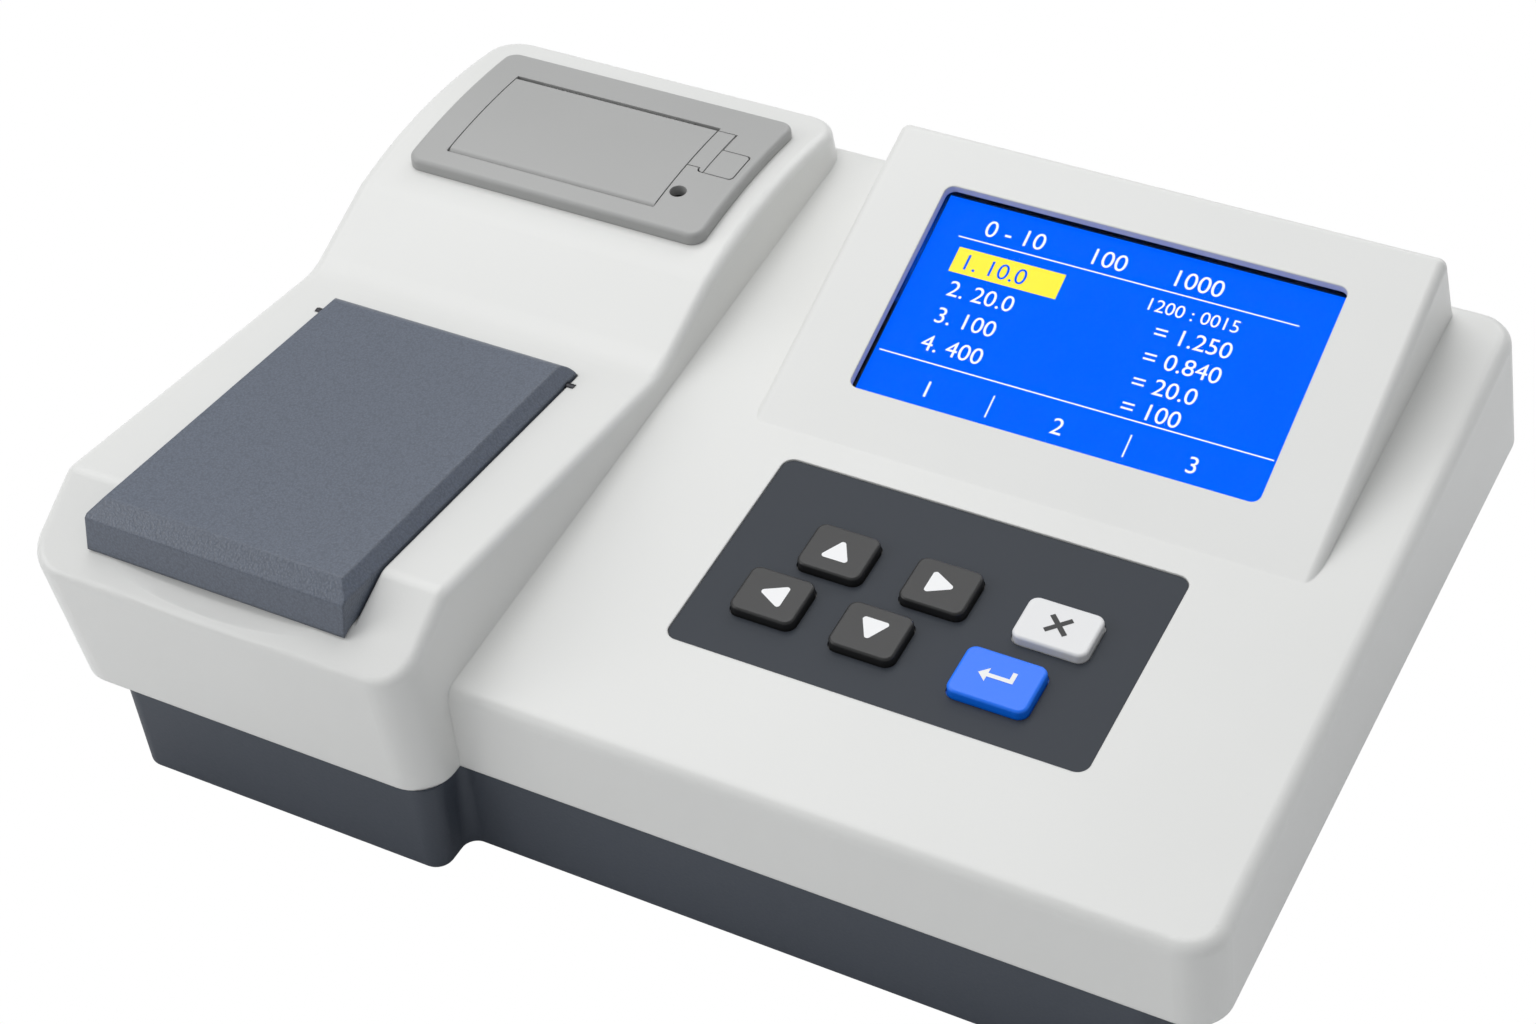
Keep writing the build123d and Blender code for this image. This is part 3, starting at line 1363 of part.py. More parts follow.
main_chips = [(0, 0, 20, 20, 2), (-40, 22, 12, 30, 4), (35, -20, 30, 10, 8), (50, 24, 14, 14, 3)]
main_board = board(155, 110, (board_x, board_y), board_z, board_posts, main_chips)
main_board.label = "main_board"
export_step(main_board, "parts/main_board.step")

supply_chips = [(-12, 0, 26, 24, 16), (12, 8, 12, 12, 14), (26, -4, 10, 16, 12)]
power_supply = board(80, 48, (supply_x, supply_y), supply_z, supply_posts, supply_chips)
power_supply.label = "power_supply"
export_step(power_supply, "parts/power_supply.step")

with BuildPart() as board_screws:
    for posts, level in ((board_posts, board_z + board_thickness), (supply_posts, supply_z + board_thickness)):
        with BuildSketch(Plane.XY.offset(level)):
            with Locations(*posts):
                Circle(2.6)
        extrude(amount=1.6)
        with BuildSketch(Plane.XY.offset(level)):
            with Locations(*posts):
                Circle(1.2)
        extrude(amount=-board_thickness - 3.5)
board_screws.part.label = "board_screws"
export_step(board_screws.part, "parts/board_screws.step")
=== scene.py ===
from math import cos, pi, radians, sin

import bpy
from mathutils import Matrix, Vector


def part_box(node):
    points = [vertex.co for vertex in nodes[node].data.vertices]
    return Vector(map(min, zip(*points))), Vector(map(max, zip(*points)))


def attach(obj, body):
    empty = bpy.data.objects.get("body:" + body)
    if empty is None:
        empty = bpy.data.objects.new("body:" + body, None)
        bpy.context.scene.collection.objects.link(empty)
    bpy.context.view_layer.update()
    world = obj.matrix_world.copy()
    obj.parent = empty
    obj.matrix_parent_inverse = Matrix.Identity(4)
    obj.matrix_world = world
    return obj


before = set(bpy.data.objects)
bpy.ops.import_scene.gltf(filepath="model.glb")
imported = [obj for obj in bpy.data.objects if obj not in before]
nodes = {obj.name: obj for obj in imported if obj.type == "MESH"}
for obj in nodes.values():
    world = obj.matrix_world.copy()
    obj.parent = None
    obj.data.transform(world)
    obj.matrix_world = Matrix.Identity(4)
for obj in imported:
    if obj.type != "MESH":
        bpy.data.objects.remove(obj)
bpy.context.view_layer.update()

# Studio: a white sweep seen by the camera, a pale floor that keeps the shadow,
# three soft lamps and a dim world.
# The camera looks down on the front left corner through a long lens, as the photograph does.
scene = bpy.context.scene
scene.view_settings.view_transform = "Standard"
camera_place = (0.32895, -0.5975, 0.6621)
turn = radians(29.652)
tilt = radians(41.897)
roll = radians(-3.565)
frame_width = 1536
focal_pixels = 2995.2
sensor_width = 36
ahead = Vector((-sin(turn) * cos(tilt), cos(turn) * cos(tilt), -sin(tilt)))
level = Vector((cos(turn), sin(turn), 0))
upward = level.cross(ahead)
right = level * cos(roll) + upward * sin(roll)
above = upward * cos(roll) - level * sin(roll)
camera = bpy.data.objects.new("camera", bpy.data.cameras.new("camera"))
camera_turn = Matrix((right, above, -ahead)).transposed().to_4x4()
camera.matrix_world = Matrix.Translation(camera_place) @ camera_turn
camera.data.sensor_width = sensor_width
camera.data.lens = focal_pixels / frame_width * sensor_width
camera.data.clip_start = 0.05
scene.collection.objects.link(camera)
scene.camera = camera

world = bpy.data.worlds.new("studio")
world.use_nodes = True
world_tree = world.node_tree
world_tree.nodes.clear()
output = world_tree.nodes.new("ShaderNodeOutputWorld")
seen = world_tree.nodes.new("ShaderNodeBackground")
seen.inputs["Color"].default_value = (1, 1, 1, 1)
seen.inputs["Strength"].default_value = 1
fill_color = (0.95, 0.97, 1, 1)
fill_strength = 0.46
fill = world_tree.nodes.new("ShaderNodeBackground")
fill.inputs["Color"].default_value = fill_color
fill.inputs["Strength"].default_value = fill_strength
path = world_tree.nodes.new("ShaderNodeLightPath")
either = world_tree.nodes.new("ShaderNodeMath")
either.operation = "MAXIMUM"
choose = world_tree.nodes.new("ShaderNodeMixShader")
world_tree.links.new(path.outputs["Is Camera Ray"], either.inputs[0])
world_tree.links.new(path.outputs["Is Transmission Ray"], either.inputs[1])
world_tree.links.new(either.outputs[0], choose.inputs[0])
world_tree.links.new(fill.outputs[0], choose.inputs[1])
world_tree.links.new(seen.outputs[0], choose.inputs[2])
world_tree.links.new(choose.outputs[0], output.inputs[0])
scene.world = world


def soft_lamp(name, place, aim, size, power):
    """An area lamp that faces a point."""
    lamp = bpy.data.objects.new(name, bpy.data.lights.new(name, "AREA"))
    lamp.data.shape = "RECTANGLE"
    lamp.data.size, lamp.data.size_y = size
    lamp.data.energy = power
    lamp.location = place
    lamp.rotation_euler = (Vector(aim) - Vector(place)).to_track_quat("-Z", "Y").to_euler()
    scene.collection.objects.link(lamp)


case_middle = (0, 0, 0.05)
soft_lamp("overhead_lamp", (-0.5, 0.35, 1.5), case_middle, (1.3, 1.3), 13)
soft_lamp("left_lamp", (-1.3, -0.9, 0.9), case_middle, (0.9, 0.9), 8)
soft_lamp("back_lamp", (0.1, 1.4, 1.0), case_middle, (1.2, 0.6), 5)

floor_reach = 4
floor_corners = [(x * floor_reach, y * floor_reach, 0) for x, y in ((-1, -1), (1, -1), (1, 1), (-1, 1))]
floor_mesh = bpy.data.meshes.new("floor")
floor_mesh.from_pydata(floor_corners, [], [(0, 1, 2, 3)])
floor = bpy.data.objects.new("floor", floor_mesh)
scene.collection.objects.link(floor)
floor_paint = bpy.data.materials.new("floor_paint")
floor_paint.use_nodes = True
tree = floor_paint.node_tree
paint = tree.nodes["Principled BSDF"]
paint.inputs["Base Color"].default_value = (0.9, 0.9, 0.9, 1)
paint.inputs["Roughness"].default_value = 0.9
white = tree.nodes.new("ShaderNodeEmission")
white.inputs["Strength"].default_value = 1
path = tree.nodes.new("ShaderNodeLightPath")
choose = tree.nodes.new("ShaderNodeMixShader")
tree.links.new(path.outputs["Is Camera Ray"], choose.inputs[0])
tree.links.new(paint.outputs[0], choose.inputs[1])
tree.links.new(white.outputs[0], choose.inputs[2])
tree.links.new(choose.outputs[0], tree.nodes["Material Output"].inputs["Surface"])
floor_mesh.materials.append(floor_paint)


# Lower case: a dark slate tray of moulded plastic with a fine spark texture.
# It is set in under the upper case and screwed to it from below.
moulded_edge = 0.0008


def plain_material(name, color, roughness):
    """A Principled material with one colour, and its tree and shader for what is added to it."""
    material = bpy.data.materials.new(name)
    material.use_nodes = True
    shader = material.node_tree.nodes["Principled BSDF"]
    shader.inputs["Base Color"].default_value = (*color, 1)
    shader.inputs["Roughness"].default_value = roughness
    return material, material.node_tree, shader


def soft_edges(tree, bump, radius):
    """Moulded edges are never sharp: the shading rounds them over a small radius."""
    bevel = tree.nodes.new("ShaderNodeBevel")
    bevel.samples = 6
    bevel.inputs["Radius"].default_value = radius
    tree.links.new(bevel.outputs["Normal"], bump.inputs["Normal"])


def moulded_plastic(name, color, grain_size, grain_depth, roughness, tint=0.04, specular=0.5, edge=0):
    """Moulded plastic: a fine pitted skin, faint flow shades in its colour and an uneven gloss."""
    flow_scale = 14
    gloss_spread = 0.06
    material, tree, shader = plain_material(name, color, roughness)
    where = tree.nodes.new("ShaderNodeTexCoord")
    pits = tree.nodes.new("ShaderNodeTexNoise")
    pits.inputs["Scale"].default_value = 1 / grain_size
    pits.inputs["Detail"].default_value = 3
    tree.links.new(where.outputs["Object"], pits.inputs["Vector"])
    bump = tree.nodes.new("ShaderNodeBump")
    bump.inputs["Distance"].default_value = grain_depth
    bump.inputs["Strength"].default_value = 1
    tree.links.new(pits.outputs["Fac"], bump.inputs["Height"])
    tree.links.new(bump.outputs["Normal"], shader.inputs["Normal"])
    if edge:
        soft_edges(tree, bump, edge)
    flow = tree.nodes.new("ShaderNodeTexNoise")
    flow.inputs["Scale"].default_value = flow_scale
    flow.inputs["Detail"].default_value = 2
    tree.links.new(where.outputs["Object"], flow.inputs["Vector"])
    shades = tree.nodes.new("ShaderNodeValToRGB")
    shades.color_ramp.elements[0].position = 0.3
    shades.color_ramp.elements[1].position = 0.7
    shades.color_ramp.elements[0].color = (*[c * (1 - tint) for c in color], 1)
    shades.color_ramp.elements[1].color = (*[min(1, c * (1 + tint)) for c in color], 1)
    tree.links.new(flow.outputs["Fac"], shades.inputs["Fac"])
    tree.links.new(shades.outputs["Color"], shader.inputs["Base Color"])
    gloss = tree.nodes.new("ShaderNodeMapRange")
    gloss.inputs["To Min"].default_value = roughness - gloss_spread
    gloss.inputs["To Max"].default_value = roughness + gloss_spread
    tree.links.new(pits.outputs["Fac"], gloss.inputs["Value"])
    tree.links.new(gloss.outputs["Result"], shader.inputs["Roughness"])
    shader.inputs["Specular IOR Level"].default_value = specular
    return material


def dress(node, material):
    """Give a CAD node its material."""
    mesh = nodes[node].data
    mesh.materials.clear()
    mesh.materials.append(material)


slate = moulded_plastic(
    "slate_plastic", (0.046, 0.055, 0.072), 0.0009, 0.00004, 0.5, specular=0.35, edge=moulded_edge
)
dress("lower_case", slate)


# Feet and case screws: four rubber discs pressed into seats in the floor,
# and blackened screws in deep recesses.
def rubber_skin(name, color, roughness=0.85):
    """Rubber: matte, faintly mottled and slightly dusty."""
    dust_scale = 260
    dust_depth = 0.00005
    material, tree, shader = plain_material(name, color, roughness)
    where = tree.nodes.new("ShaderNodeTexCoord")
    dust = tree.nodes.new("ShaderNodeTexNoise")
    dust.inputs["Scale"].default_value = dust_scale
    dust.inputs["Detail"].default_value = 4
    tree.links.new(where.outputs["Object"], dust.inputs["Vector"])
    shades = tree.nodes.new("ShaderNodeValToRGB")
    shades.color_ramp.elements[0].position = 0.4
    shades.color_ramp.elements[1].position = 0.75
    shades.color_ramp.elements[0].color = (*color, 1)
    shades.color_ramp.elements[1].color = (*[c * 1.5 + 0.005 for c in color], 1)
    tree.links.new(dust.outputs["Fac"], shades.inputs["Fac"])
    tree.links.new(shades.outputs["Color"], shader.inputs["Base Color"])
    bump = tree.nodes.new("ShaderNodeBump")
    bump.inputs["Distance"].default_value = dust_depth
    tree.links.new(dust.outputs["Fac"], bump.inputs["Height"])
    tree.links.new(bump.outputs["Normal"], shader.inputs["Normal"])
    return material


def metal_skin(name, color, roughness, grain=(1, 1, 30), grain_size=0.0015):
    """Metal with a drawn or ground grain that runs along one direction."""
    grain_depth = 0.00001
    smoother, rougher = 0.08, 0.1
    material, tree, shader = plain_material(name, color, roughness)
    shader.inputs["Metallic"].default_value = 1
    where = tree.nodes.new("ShaderNodeTexCoord")
    stretch = tree.nodes.new("ShaderNodeMapping")
    stretch.inputs["Scale"].default_value = grain
    streaks = tree.nodes.new("ShaderNodeTexNoise")
    streaks.inputs["Scale"].default_value = 1 / grain_size
    streaks.inputs["Detail"].default_value = 3
    tree.links.new(where.outputs["Object"], stretch.inputs["Vector"])
    tree.links.new(stretch.outputs["Vector"], streaks.inputs["Vector"])
    gloss = tree.nodes.new("ShaderNodeMapRange")
    gloss.inputs["To Min"].default_value = roughness - smoother
    gloss.inputs["To Max"].default_value = roughness + rougher
    tree.links.new(streaks.outputs["Fac"], gloss.inputs["Value"])
    tree.links.new(gloss.outputs["Result"], shader.inputs["Roughness"])
    bump = tree.nodes.new("ShaderNodeBump")
    bump.inputs["Distance"].default_value = grain_depth
    tree.links.new(streaks.outputs["Fac"], bump.inputs["Height"])
    tree.links.new(bump.outputs["Normal"], shader.inputs["Normal"])
    return material


foot_rubber = rubber_skin("foot_rubber", (0.018, 0.018, 0.019))
black_steel = metal_skin("black_steel", (0.05, 0.05, 0.055), 0.42)
dress("rubber_feet", foot_rubber)
dress("case_screws", black_steel)

# Sample compartment: a black liner round the mouth of the cell well, over an anodised optical block.
# Lamp, lens and detectors plug into the block and sit inside the closed case.
liner_black = moulded_plastic("liner_black", (0.012, 0.012, 0.013), 0.0007, 0.00003, 0.45)
block_black = metal_skin(
    "anodised_black", (0.035, 0.035, 0.038), 0.5, grain=(1, 1, 1), grain_size=0.0006
)
seal_rubber = rubber_skin("seal_rubber", (0.02, 0.02, 0.02), 0.7)
lens_glass, tree, shader = plain_material("lens_glass", (0.96, 0.98, 1.0), 0.02)
shader.inputs["Transmission Weight"].default_value = 1
shader.inputs["IOR"].default_value = 1.5
lamp_resin = moulded_plastic("lamp_resin", (0.03, 0.012, 0.02), 0.001, 0.00001, 0.15)
for name in ("cell_liner", "lamp_holder", "lens_ring", "transmission_detector", "scatter_detector"):
    dress(name, liner_black)
dress("optical_block", block_black)
dress("infrared_lamp", lamp_resin)
dress("collimating_lens", lens_glass)


# Liner screws: four small blackened screws that hold the liner's plate to the floor
# of the lid's recess. One Geometry Nodes tree sets a head on each corner of a square.
screw_spacing = 0.068
head_radius = 0.0021
head_height = 0.0012


def screw_square(name, spacing, radius, height, place, material, body):
    """Four screw heads on the corners of a square, laid on a plane and kept as one mesh."""
    tree = bpy.data.node_groups.new(name + "_tree", "GeometryNodeTree")
    tree.interface.new_socket("Geometry", in_out="OUTPUT", socket_type="NodeSocketGeometry")
    sizes = {}
    for label, value in (("Spacing", spacing), ("Head Radius", radius), ("Head Height", height)):
        socket = tree.interface.new_socket(label, in_out="INPUT", socket_type="NodeSocketFloat")
        sizes[socket.identifier] = value
    given = tree.nodes.new("NodeGroupInput")
    result = tree.nodes.new("NodeGroupOutput")
    grid = tree.nodes.new("GeometryNodeMeshGrid")
    grid.inputs["Vertices X"].default_value = 2
    grid.inputs["Vertices Y"].default_value = 2
    head = tree.nodes.new("GeometryNodeMeshCylinder")
    head.inputs["Vertices"].default_value = 24
    spread = tree.nodes.new("GeometryNodeInstanceOnPoints")
    real = tree.nodes.new("GeometryNodeRealizeInstances")
    paint = tree.nodes.new("GeometryNodeSetMaterial")
    paint.inputs["Material"].default_value = material
    tree.links.new(given.outputs["Spacing"], grid.inputs["Size X"])
    tree.links.new(given.outputs["Spacing"], grid.inputs["Size Y"])
    tree.links.new(given.outputs["Head Radius"], head.inputs["Radius"])
    tree.links.new(given.outputs["Head Height"], head.inputs["Depth"])
    tree.links.new(grid.outputs["Mesh"], spread.inputs["Points"])
    tree.links.new(head.outputs["Mesh"], spread.inputs["Instance"])
    tree.links.new(spread.outputs["Instances"], real.inputs["Geometry"])
    tree.links.new(real.outputs["Geometry"], paint.inputs["Geometry"])
    tree.links.new(paint.outputs["Geometry"], result.inputs[0])
    holder = bpy.data.objects.new(name + "_holder", bpy.data.meshes.new(name + "_holder"))
    scene.collection.objects.link(holder)
    modifier = holder.modifiers.new("screws", "NODES")
    modifier.node_group = tree
    for identifier, value in sizes.items():
        modifier[identifier] = value
    mesh = bpy.data.meshes.new_from_object(holder.evaluated_get(bpy.context.evaluated_depsgraph_get()))
    bpy.data.objects.remove(holder)
    mesh.transform(place)
    mesh.materials.clear()
    mesh.materials.append(material)
    piece = bpy.data.objects.new(name, mesh)
    scene.collection.objects.link(piece)
    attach(piece, body)


def facing(along, across):
    """The turn that lays a flat mesh along two directions."""
    return Matrix((along, across, along.cross(across))).transposed().to_4x4()


deck_along = Vector((1, 0, 0))
lid_tilt = radians(-5.6)
lid_across = Vector((0, cos(lid_tilt), sin(lid_tilt)))
lid_normal = deck_along.cross(lid_across)
low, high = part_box("cell_liner")
middle = (low + high) / 2
collar_reach = 0.03
plate_edge = [v.co for v in nodes["cell_liner"].data.vertices if abs(v.co.x - middle.x) > collar_reach]
plate_level = max(point.dot(lid_normal) for point in plate_edge)
plate_middle = sum(point.dot(lid_across) for point in plate_edge) / len(plate_edge)
plate_point = (
    deck_along * middle.x + lid_across * plate_middle + lid_normal * (plate_level + head_height / 2)
)
plate_place = Matrix.Translation(plate_point) @ facing(deck_along, lid_across)
screw_square("liner_screws", screw_spacing, head_radius, head_height, plate_place, black_steel, "case")

# Upper case: the white moulded shell, with the pod, the main deck and the display hood in one piece.
# Its skin has a very fine spark texture and soft edges.
case_white = moulded_plastic(
    "case_white", (0.72, 0.72, 0.70), 0.0007, 0.000016, 0.34, tint=0.012, edge=moulded_edge
)
dress("upper_case", case_white)

# Sample lid: a slate cover with a leather-grained skin, a rubber seal inside
# and a blackened steel pin through its barrel, whose dark ends also stand as painted shade for the gaps at
# the lid's back corners.
lid_edge = 0.0012


def grained_skin(name, color, cell, depth, roughness):
    """Plastic with a leather grain: soft irregular pebbles between fine creases, with a painted highlight
    on the pebble crowns and painted shade in the creases.
    """
    fine_share = 0.35
    # Painted light: factors on the base colour, lifting the pebble crowns as a painted highlight and
    # lowering the creases as painted shade.
    crown_painted_highlight, crease_painted_shade = 1.12, 0.82
    material, tree, shader = plain_material(name, color, roughness)
    where = tree.nodes.new("ShaderNodeTexCoord")
    warp = tree.nodes.new("ShaderNodeTexNoise")
    warp.inputs["Scale"].default_value = 1 / (cell * 2)
    warp.inputs["Detail"].default_value = 2
    shift = tree.nodes.new("ShaderNodeVectorMath")
    shift.operation = "MULTIPLY_ADD"
    shift.inputs[1].default_value = (cell * 1.2,) * 3
    tree.links.new(where.outputs["Object"], warp.inputs["Vector"])
    tree.links.new(warp.outputs["Color"], shift.inputs[0])
    tree.links.new(where.outputs["Object"], shift.inputs[2])
    pebbles = tree.nodes.new("ShaderNodeTexVoronoi")
    pebbles.feature = "SMOOTH_F1"
    pebbles.inputs["Scale"].default_value = 1 / cell
    pebbles.inputs["Smoothness"].default_value = 0.5
    tree.links.new(shift.outputs["Vector"], pebbles.inputs["Vector"])
    fine = tree.nodes.new("ShaderNodeTexNoise")
    fine.inputs["Scale"].default_value = 2.2 / cell
    fine.inputs["Detail"].default_value = 2
    tree.links.new(where.outputs["Object"], fine.inputs["Vector"])
    height = tree.nodes.new("ShaderNodeMix")
    height.data_type = "FLOAT"
    height.inputs[0].default_value = fine_share
    tree.links.new(pebbles.outputs["Distance"], height.inputs[2])
    tree.links.new(fine.outputs["Fac"], height.inputs[3])
    bump = tree.nodes.new("ShaderNodeBump")
    bump.invert = True
    bump.inputs["Distance"].default_value = depth
    tree.links.new(height.outputs[0], bump.inputs["Height"])
    tree.links.new(bump.outputs["Normal"], shader.inputs["Normal"])
    soft_edges(tree, bump, lid_edge)
    # Painted highlight on the crowns and painted shade in the creases, set by the pebble distance.
    shades = tree.nodes.new("ShaderNodeValToRGB")
    shades.color_ramp.elements[0].position = 0.1
    shades.color_ramp.elements[1].position = 0.75
    shades.color_ramp.elements[0].color = (*[c * crown_painted_highlight for c in color], 1)
    shades.color_ramp.elements[1].color = (*[c * crease_painted_shade for c in color], 1)
    tree.links.new(pebbles.outputs["Distance"], shades.inputs["Fac"])
    tree.links.new(shades.outputs["Color"], shader.inputs["Base Color"])
    return material


lid_skin = grained_skin("lid_grain", (0.108, 0.126, 0.162), 0.0007, 0.00010, 0.34)
pin_steel = metal_skin("pin_steel", (0.6, 0.6, 0.6), 0.3, grain=(60, 1, 1))
dress("sample_lid", lid_skin)
dress("lid_seal", seal_rubber)
# The pin's dark finish also serves as painted shade at the lid's back corners, where the gaps lie in
# shade.
dress("lid_pin", black_steel)

# Key field: a dark film panel let into the deck, with six moulded keys that stand through it.
# Each key carries a printed mark: four arrows, a cross and a return arrow.
film_dark = moulded_plastic(
    "film_dark", (0.036, 0.042, 0.052), 0.0005, 0.00001, 0.46, tint=0.02, specular=0.2
)
key_black = moulded_plastic("key_black", (0.014, 0.014, 0.014), 0.0006, 0.000012, 0.4)
key_white = moulded_plastic("key_white", (0.76, 0.76, 0.76), 0.0006, 0.000012, 0.36, tint=0.01)
key_blue = moulded_plastic("key_blue", (0.0, 0.17, 0.95), 0.0006, 0.000012, 0.36, tint=0.02)
board_green = moulded_plastic("board_green", (0.012, 0.09, 0.04), 0.002, 0.00002, 0.35, tint=0.2)
dress("key_panel", film_dark)
for name in ("key_up", "key_left", "key_down", "key_right"):
    dress(name, key_black)
dress("key_escape", key_white)
dress("key_enter", key_blue)
dress("key_board", board_green)

deck_tilt = radians(3.64)
print_lift = 0.00005


def printed_piece(name, outlines, origin, along, across, lift, material, body):
    """A thin printed mark: closed outlines on a plane, in metres, filled and lifted off it."""
    curve = bpy.data.curves.new(name, "CURVE")
    curve.dimensions = "2D"
    curve.fill_mode = "BOTH"
    for outline in outlines:
        spline = curve.splines.new("POLY")
        spline.points.add(len(outline) - 1)
        for point, (x, y) in zip(spline.points, outline):
            point.co = (x, y, 0, 1)
        spline.use_cyclic_u = True
    holder = bpy.data.objects.new(name + "_outline", curve)
    scene.collection.objects.link(holder)
    mesh = bpy.data.meshes.new_from_object(holder.evaluated_get(bpy.context.evaluated_depsgraph_get()))
    bpy.data.objects.remove(holder)
    normal = along.cross(across)
    mesh.transform(Matrix.Translation(origin + normal * lift) @ facing(along, across))
    mesh.materials.clear()
    mesh.materials.append(material)
    piece = bpy.data.objects.new(name, mesh)
    scene.collection.objects.link(piece)
    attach(piece, body)


def rounded_outline(corners, radius, steps=5):
    """Corner points of a polygon, each replaced by a short arc."""
    points = []
    count = len(corners)
    for i, corner in enumerate(corners):
        corner = Vector(corner)
        back = (Vector(corners[i - 1]) - corner).normalized()
        on = (Vector(corners[(i + 1) % count]) - corner).normalized()
        half = back.angle(on) / 2
        reach = radius / sin(half) * cos(half)
        start, end = corner + back * reach, corner + on * reach
        centre = corner + (back + on).normalized() * radius / sin(half)
        for step in range(steps + 1):
            spoke = start.lerp(end, step / steps) - centre
            points.append(centre + spoke.normalized() * radius)
    return points


mark_white = moulded_plastic("mark_white", (0.86, 0.86, 0.86), 0.001, 0.000002, 0.5, tint=0.01)
mark_dark = moulded_plastic("mark_dark", (0.02, 0.02, 0.02), 0.001, 0.000002, 0.5)
deck_across = Vector((0, cos(deck_tilt), sin(deck_tilt)))


def top_middle(node, normal):
    """Middle of a node's top face, seen along the face's normal."""
    low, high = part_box(node)
    middle = (low + high) / 2
    top = max(v.co.dot(normal) for v in nodes[node].data.vertices)
    return middle + normal * (top - middle.dot(normal))


def key_mark(node, outline, material):
    """A mark printed on a key's top, which moves with the key."""
    origin = top_middle(node, deck_along.cross(deck_across))
    printed_piece(node + "_mark", [outline], origin, deck_along, deck_across, print_lift, material, node)


arrow_round = 0.0009
arrow = [(-0.0047, -0.0040), (0.0047, -0.0040), (0, 0.0045)]
for node, quarter in (("key_up", 0), ("key_left", 1), ("key_down", 2), ("key_right", 3)):
    turned = [Matrix.Rotation(quarter * pi / 2, 2) @ Vector(point) for point in arrow]
    key_mark(node, rounded_outline(turned, arrow_round), mark_white)

arm = 0.0044
bar = 0.0008
cross = []
for quarter in range(4):
    turn_matrix = Matrix.Rotation(quarter * pi / 2 + pi / 4, 2)
    cross += [turn_matrix @ Vector(point) for point in ((arm, -bar), (arm, bar), (bar, bar))]
key_mark("key_escape", cross, mark_dark)
hook = [
    (-0.0058, 0), (-0.0030, 0.0026), (-0.0030, 0.0007), (0.0034, 0.0007), (0.0034, 0.0034),
    (0.0048, 0.0034), (0.0048, -0.0007), (-0.0030, -0.0007), (-0.0030, -0.0026),
]
key_mark("key_enter", hook, mark_white)

# Display: a clear window bonded behind the hood's opening, then a pressed frame, the glass and its board.
# The glass is lit blue from behind, with a yellow bar on the chosen row.
# Its rows hold plain numbers and bars.
window_clear, tree, shader = plain_material("window_clear", (1, 1, 1), 0.03)
shader.inputs["Transmission Weight"].default_value = 1
shader.inputs["IOR"].default_value = 1.05
dress("display_window", window_clear)
dress("display_frame", black_steel)
dress("display_board", board_green)


def lit_surface(name, color, strength):
    """A surface of the display that glows with the light behind it."""
    unlit_low, unlit_high = 0.08, 0.12
    material, tree, shader = plain_material(name, color, 0.5)
    shader.inputs["Specular IOR Level"].default_value = 0
    shader.inputs["Emission Color"].default_value = (*color, 1)
    shader.inputs["Emission Strength"].default_value = strength
    where = tree.nodes.new("ShaderNodeTexCoord")
    dots = tree.nodes.new("ShaderNodeTexNoise")
    dots.inputs["Scale"].default_value = 60
    tree.links.new(where.outputs["Object"], dots.inputs["Vector"])
    shades = tree.nodes.new("ShaderNodeValToRGB")
    shades.color_ramp.elements[0].color = (*[c * unlit_low for c in color], 1)
    shades.color_ramp.elements[1].color = (*[c * unlit_high for c in color], 1)
    tree.links.new(dots.outputs["Fac"], shades.inputs["Fac"])
    tree.links.new(shades.outputs["Color"], shader.inputs["Base Color"])
    return material


screen_glow = 0.95
screen_blue = lit_surface("screen_blue", (0.0, 0.115, 1.0), screen_glow)
screen_white = lit_surface("screen_white", (0.9, 0.95, 1.0), screen_glow)
screen_yellow = lit_surface("screen_yellow", (1.0, 0.86, 0.07), screen_glow)
dress("display_glass", screen_blue)

hood_tilt = radians(19.9)
hood_across = Vector((0, cos(hood_tilt), sin(hood_tilt)))
hood_normal = deck_along.cross(hood_across)
screen_origin = top_middle("display_glass", hood_normal)
screen_unit = 0.001
rule_lift = 0.00006
number_lift = 0.00012


def bar_outline(x, y, width, height):
    """A plain rectangle of the screen, from its lower left corner, in millimetres."""
    corners = ((x, y), (x + width, y), (x + width, y + height), (x, y + height))
    return [(across * screen_unit, up * screen_unit) for across, up in corners]


def screen_number(name, words, x, y, height, material):
    """A plain number on the screen, made a mesh and laid on the glass."""
    curve = bpy.data.curves.new(name, "FONT")
    curve.body = words
    curve.size = height * screen_unit
    holder = bpy.data.objects.new(name + "_text", curve)
    scene.collection.objects.link(holder)
    mesh = bpy.data.meshes.new_from_object(holder.evaluated_get(bpy.context.evaluated_depsgraph_get()))
    bpy.data.objects.remove(holder)
    mesh.transform(Matrix.Translation((x * screen_unit, y * screen_unit, 0)))
    place = Matrix.Translation(screen_origin + hood_normal * number_lift)
    mesh.transform(place @ facing(deck_along, hood_across))
    mesh.materials.clear()
    mesh.materials.append(material)
    piece = bpy.data.objects.new(name, mesh)
    scene.collection.objects.link(piece)
    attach(piece, "case")


rules = [
    bar_outline(-57, 24.6, 112, 0.45), bar_outline(-64, -21.5, 128, 0.45),
    bar_outline(-23.5, -34, 0.5, 8), bar_outline(21, -34, 0.5, 8),
]
chosen = [bar_outline(-55, 11.8, 36, 9.4)]
for name, outlines, material in (
    ("screen_rules", rules, screen_white), ("screen_chosen_row", chosen, screen_yellow)
):
    printed_piece(name, outlines, screen_origin, deck_along, hood_across, rule_lift, material, "case")

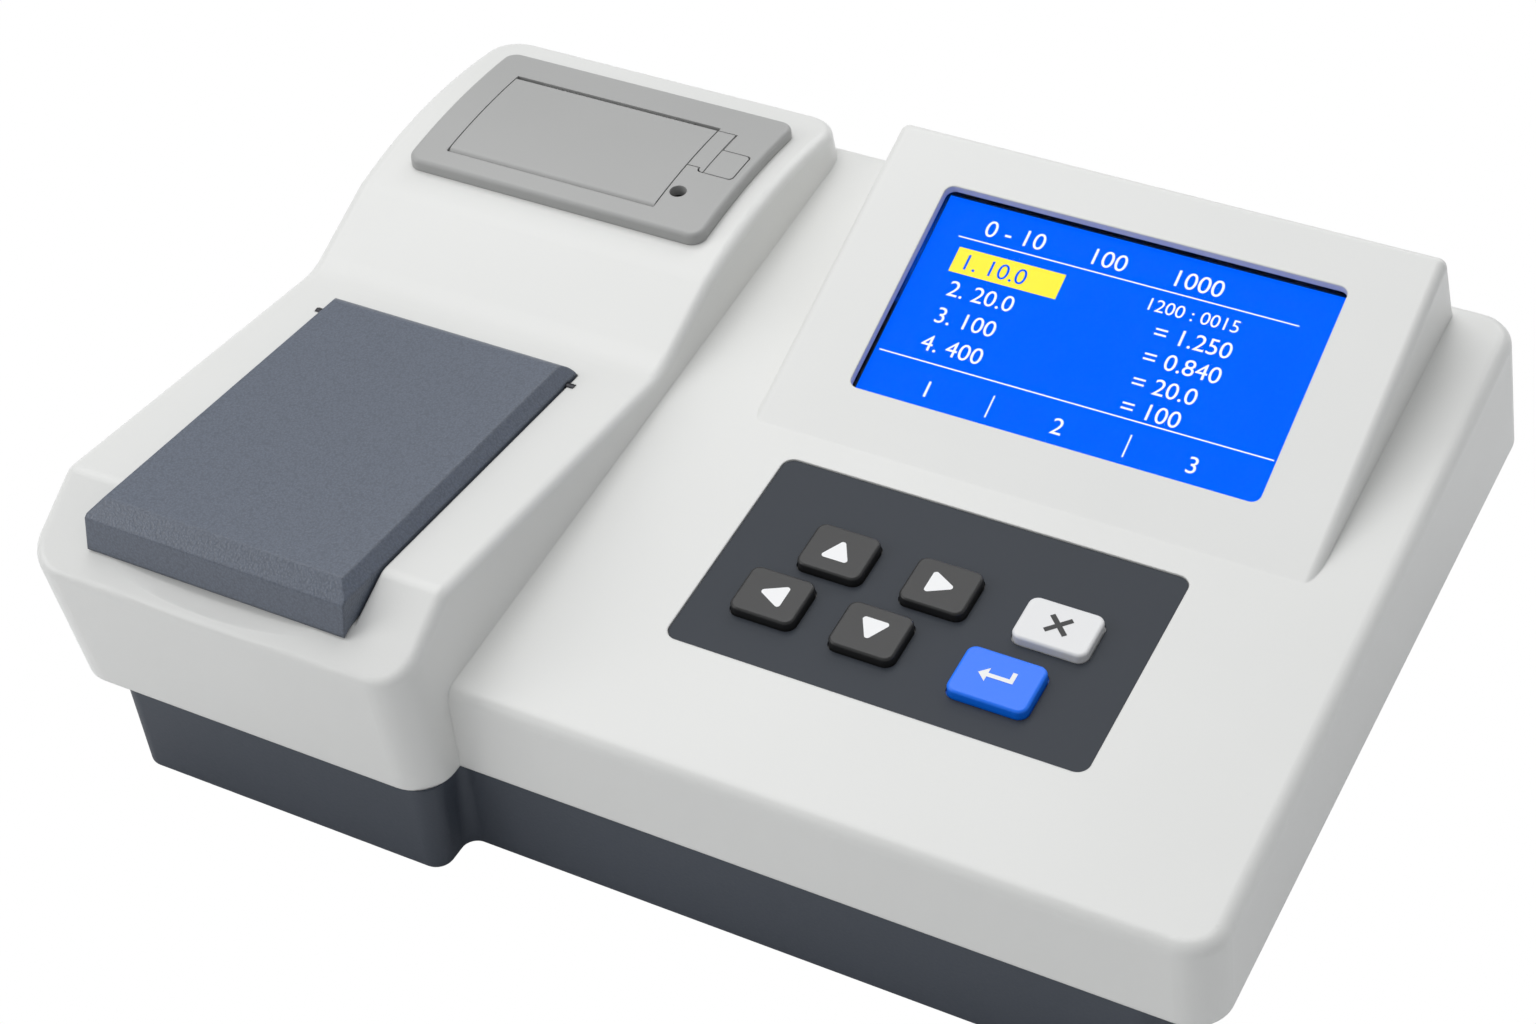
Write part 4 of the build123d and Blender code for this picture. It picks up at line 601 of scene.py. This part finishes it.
# Each row of figures has its name and words, then its left end, its base line
# and its height on the screen in millimetres.
figure_height = 8.2
screen_number("screen_row_1", "1. 10.0", -52.5, 13.6, figure_height, screen_blue)
for name, words, x, y, height in (
    ("screen_row_2", "2. 20.0", -52.5, 3.2, figure_height),
    ("screen_row_3", "3. 100", -52.5, -7, figure_height),
    ("screen_row_4", "4. 400", -52.5, -17.4, figure_height),
    ("screen_title", "0 - 10      100      1000", -50, 27.3, 8.6),
    ("screen_reading_1", "1200 : 0015", 8, 16.8, 6.4),
    ("screen_reading_2", "= 1.250", 14, 7.4, figure_height),
    ("screen_reading_3", "= 0.840", 14, -1.8, figure_height),
    ("screen_reading_4", "= 20.0", 14, -11, figure_height),
    ("screen_reading_5", "= 100", 14, -20, figure_height),
    ("screen_field_1", "1", -46, -33, figure_height),
    ("screen_field_2", "2", -3, -33, figure_height),
    ("screen_field_3", "3", 40, -33, figure_height),
):
    screen_number(name, words, x, y, height, screen_white)

# Strip printer: a grey bezel that follows the hump, a paper door that carries the platen, and its latch.
# Below them lie the bucket for the roll, the thermal head, the toothed tear bar and the feed motor.
thin_edge = 0.0005
printer_grey = moulded_plastic(
    "printer_grey", (0.370, 0.370, 0.362), 0.0007, 0.00002, 0.42, tint=0.02, edge=thin_edge
)
bucket_black = moulded_plastic("bucket_black", (0.02, 0.02, 0.021), 0.0008, 0.00003, 0.5)
bar_steel = metal_skin("bar_steel", (0.62, 0.62, 0.62), 0.3, grain=(1, 20, 1))
head_aluminium = metal_skin("head_aluminium", (0.7, 0.7, 0.71), 0.35, grain=(1, 1, 12))
platen_rubber = rubber_skin("platen_rubber", (0.022, 0.022, 0.022), 0.75)
gear_nylon = moulded_plastic("gear_nylon", (0.72, 0.70, 0.62), 0.001, 0.00001, 0.4)
lamp_dark = moulded_plastic("lamp_dark", (0.008, 0.008, 0.009), 0.001, 0.000005, 0.12)
for name in ("printer_frame", "paper_door", "door_latch"):
    dress(name, printer_grey)
dress("door_pin", pin_steel)
dress("printer_lamp", lamp_dark)
dress("printer_body", bucket_black)
for name in ("feed_motor", "thermal_head"):
    dress(name, head_aluminium)
dress("tear_bar", bar_steel)
dress("platen_roller", platen_rubber)
dress("platen_shaft", pin_steel)
dress("platen_gear", gear_nylon)

# Rear of the base: a power inlet, a rocker switch and a nine-way serial port, each let into the back wall.
# Inlet and switch are moulded black plastic, and the port has a plated steel shell.
inlet_brass = metal_skin("inlet_brass", (0.75, 0.72, 0.66), 0.25)
shell_steel = metal_skin("shell_steel", (0.66, 0.66, 0.64), 0.32)
socket_black = moulded_plastic("socket_black", (0.012, 0.012, 0.012), 0.0008, 0.00002, 0.35)
for name in ("power_inlet", "switch_housing", "power_rocker"):
    dress(name, socket_black)
dress("inlet_pins", inlet_brass)
dress("serial_port", shell_steel)

# Boards inside the base: the main board and the power supply, of green laminate,
# stand on the posts of the tray and are held by steel screws.
for name in ("main_board", "power_supply"):
    dress(name, board_green)
dress("board_screws", bar_steel)
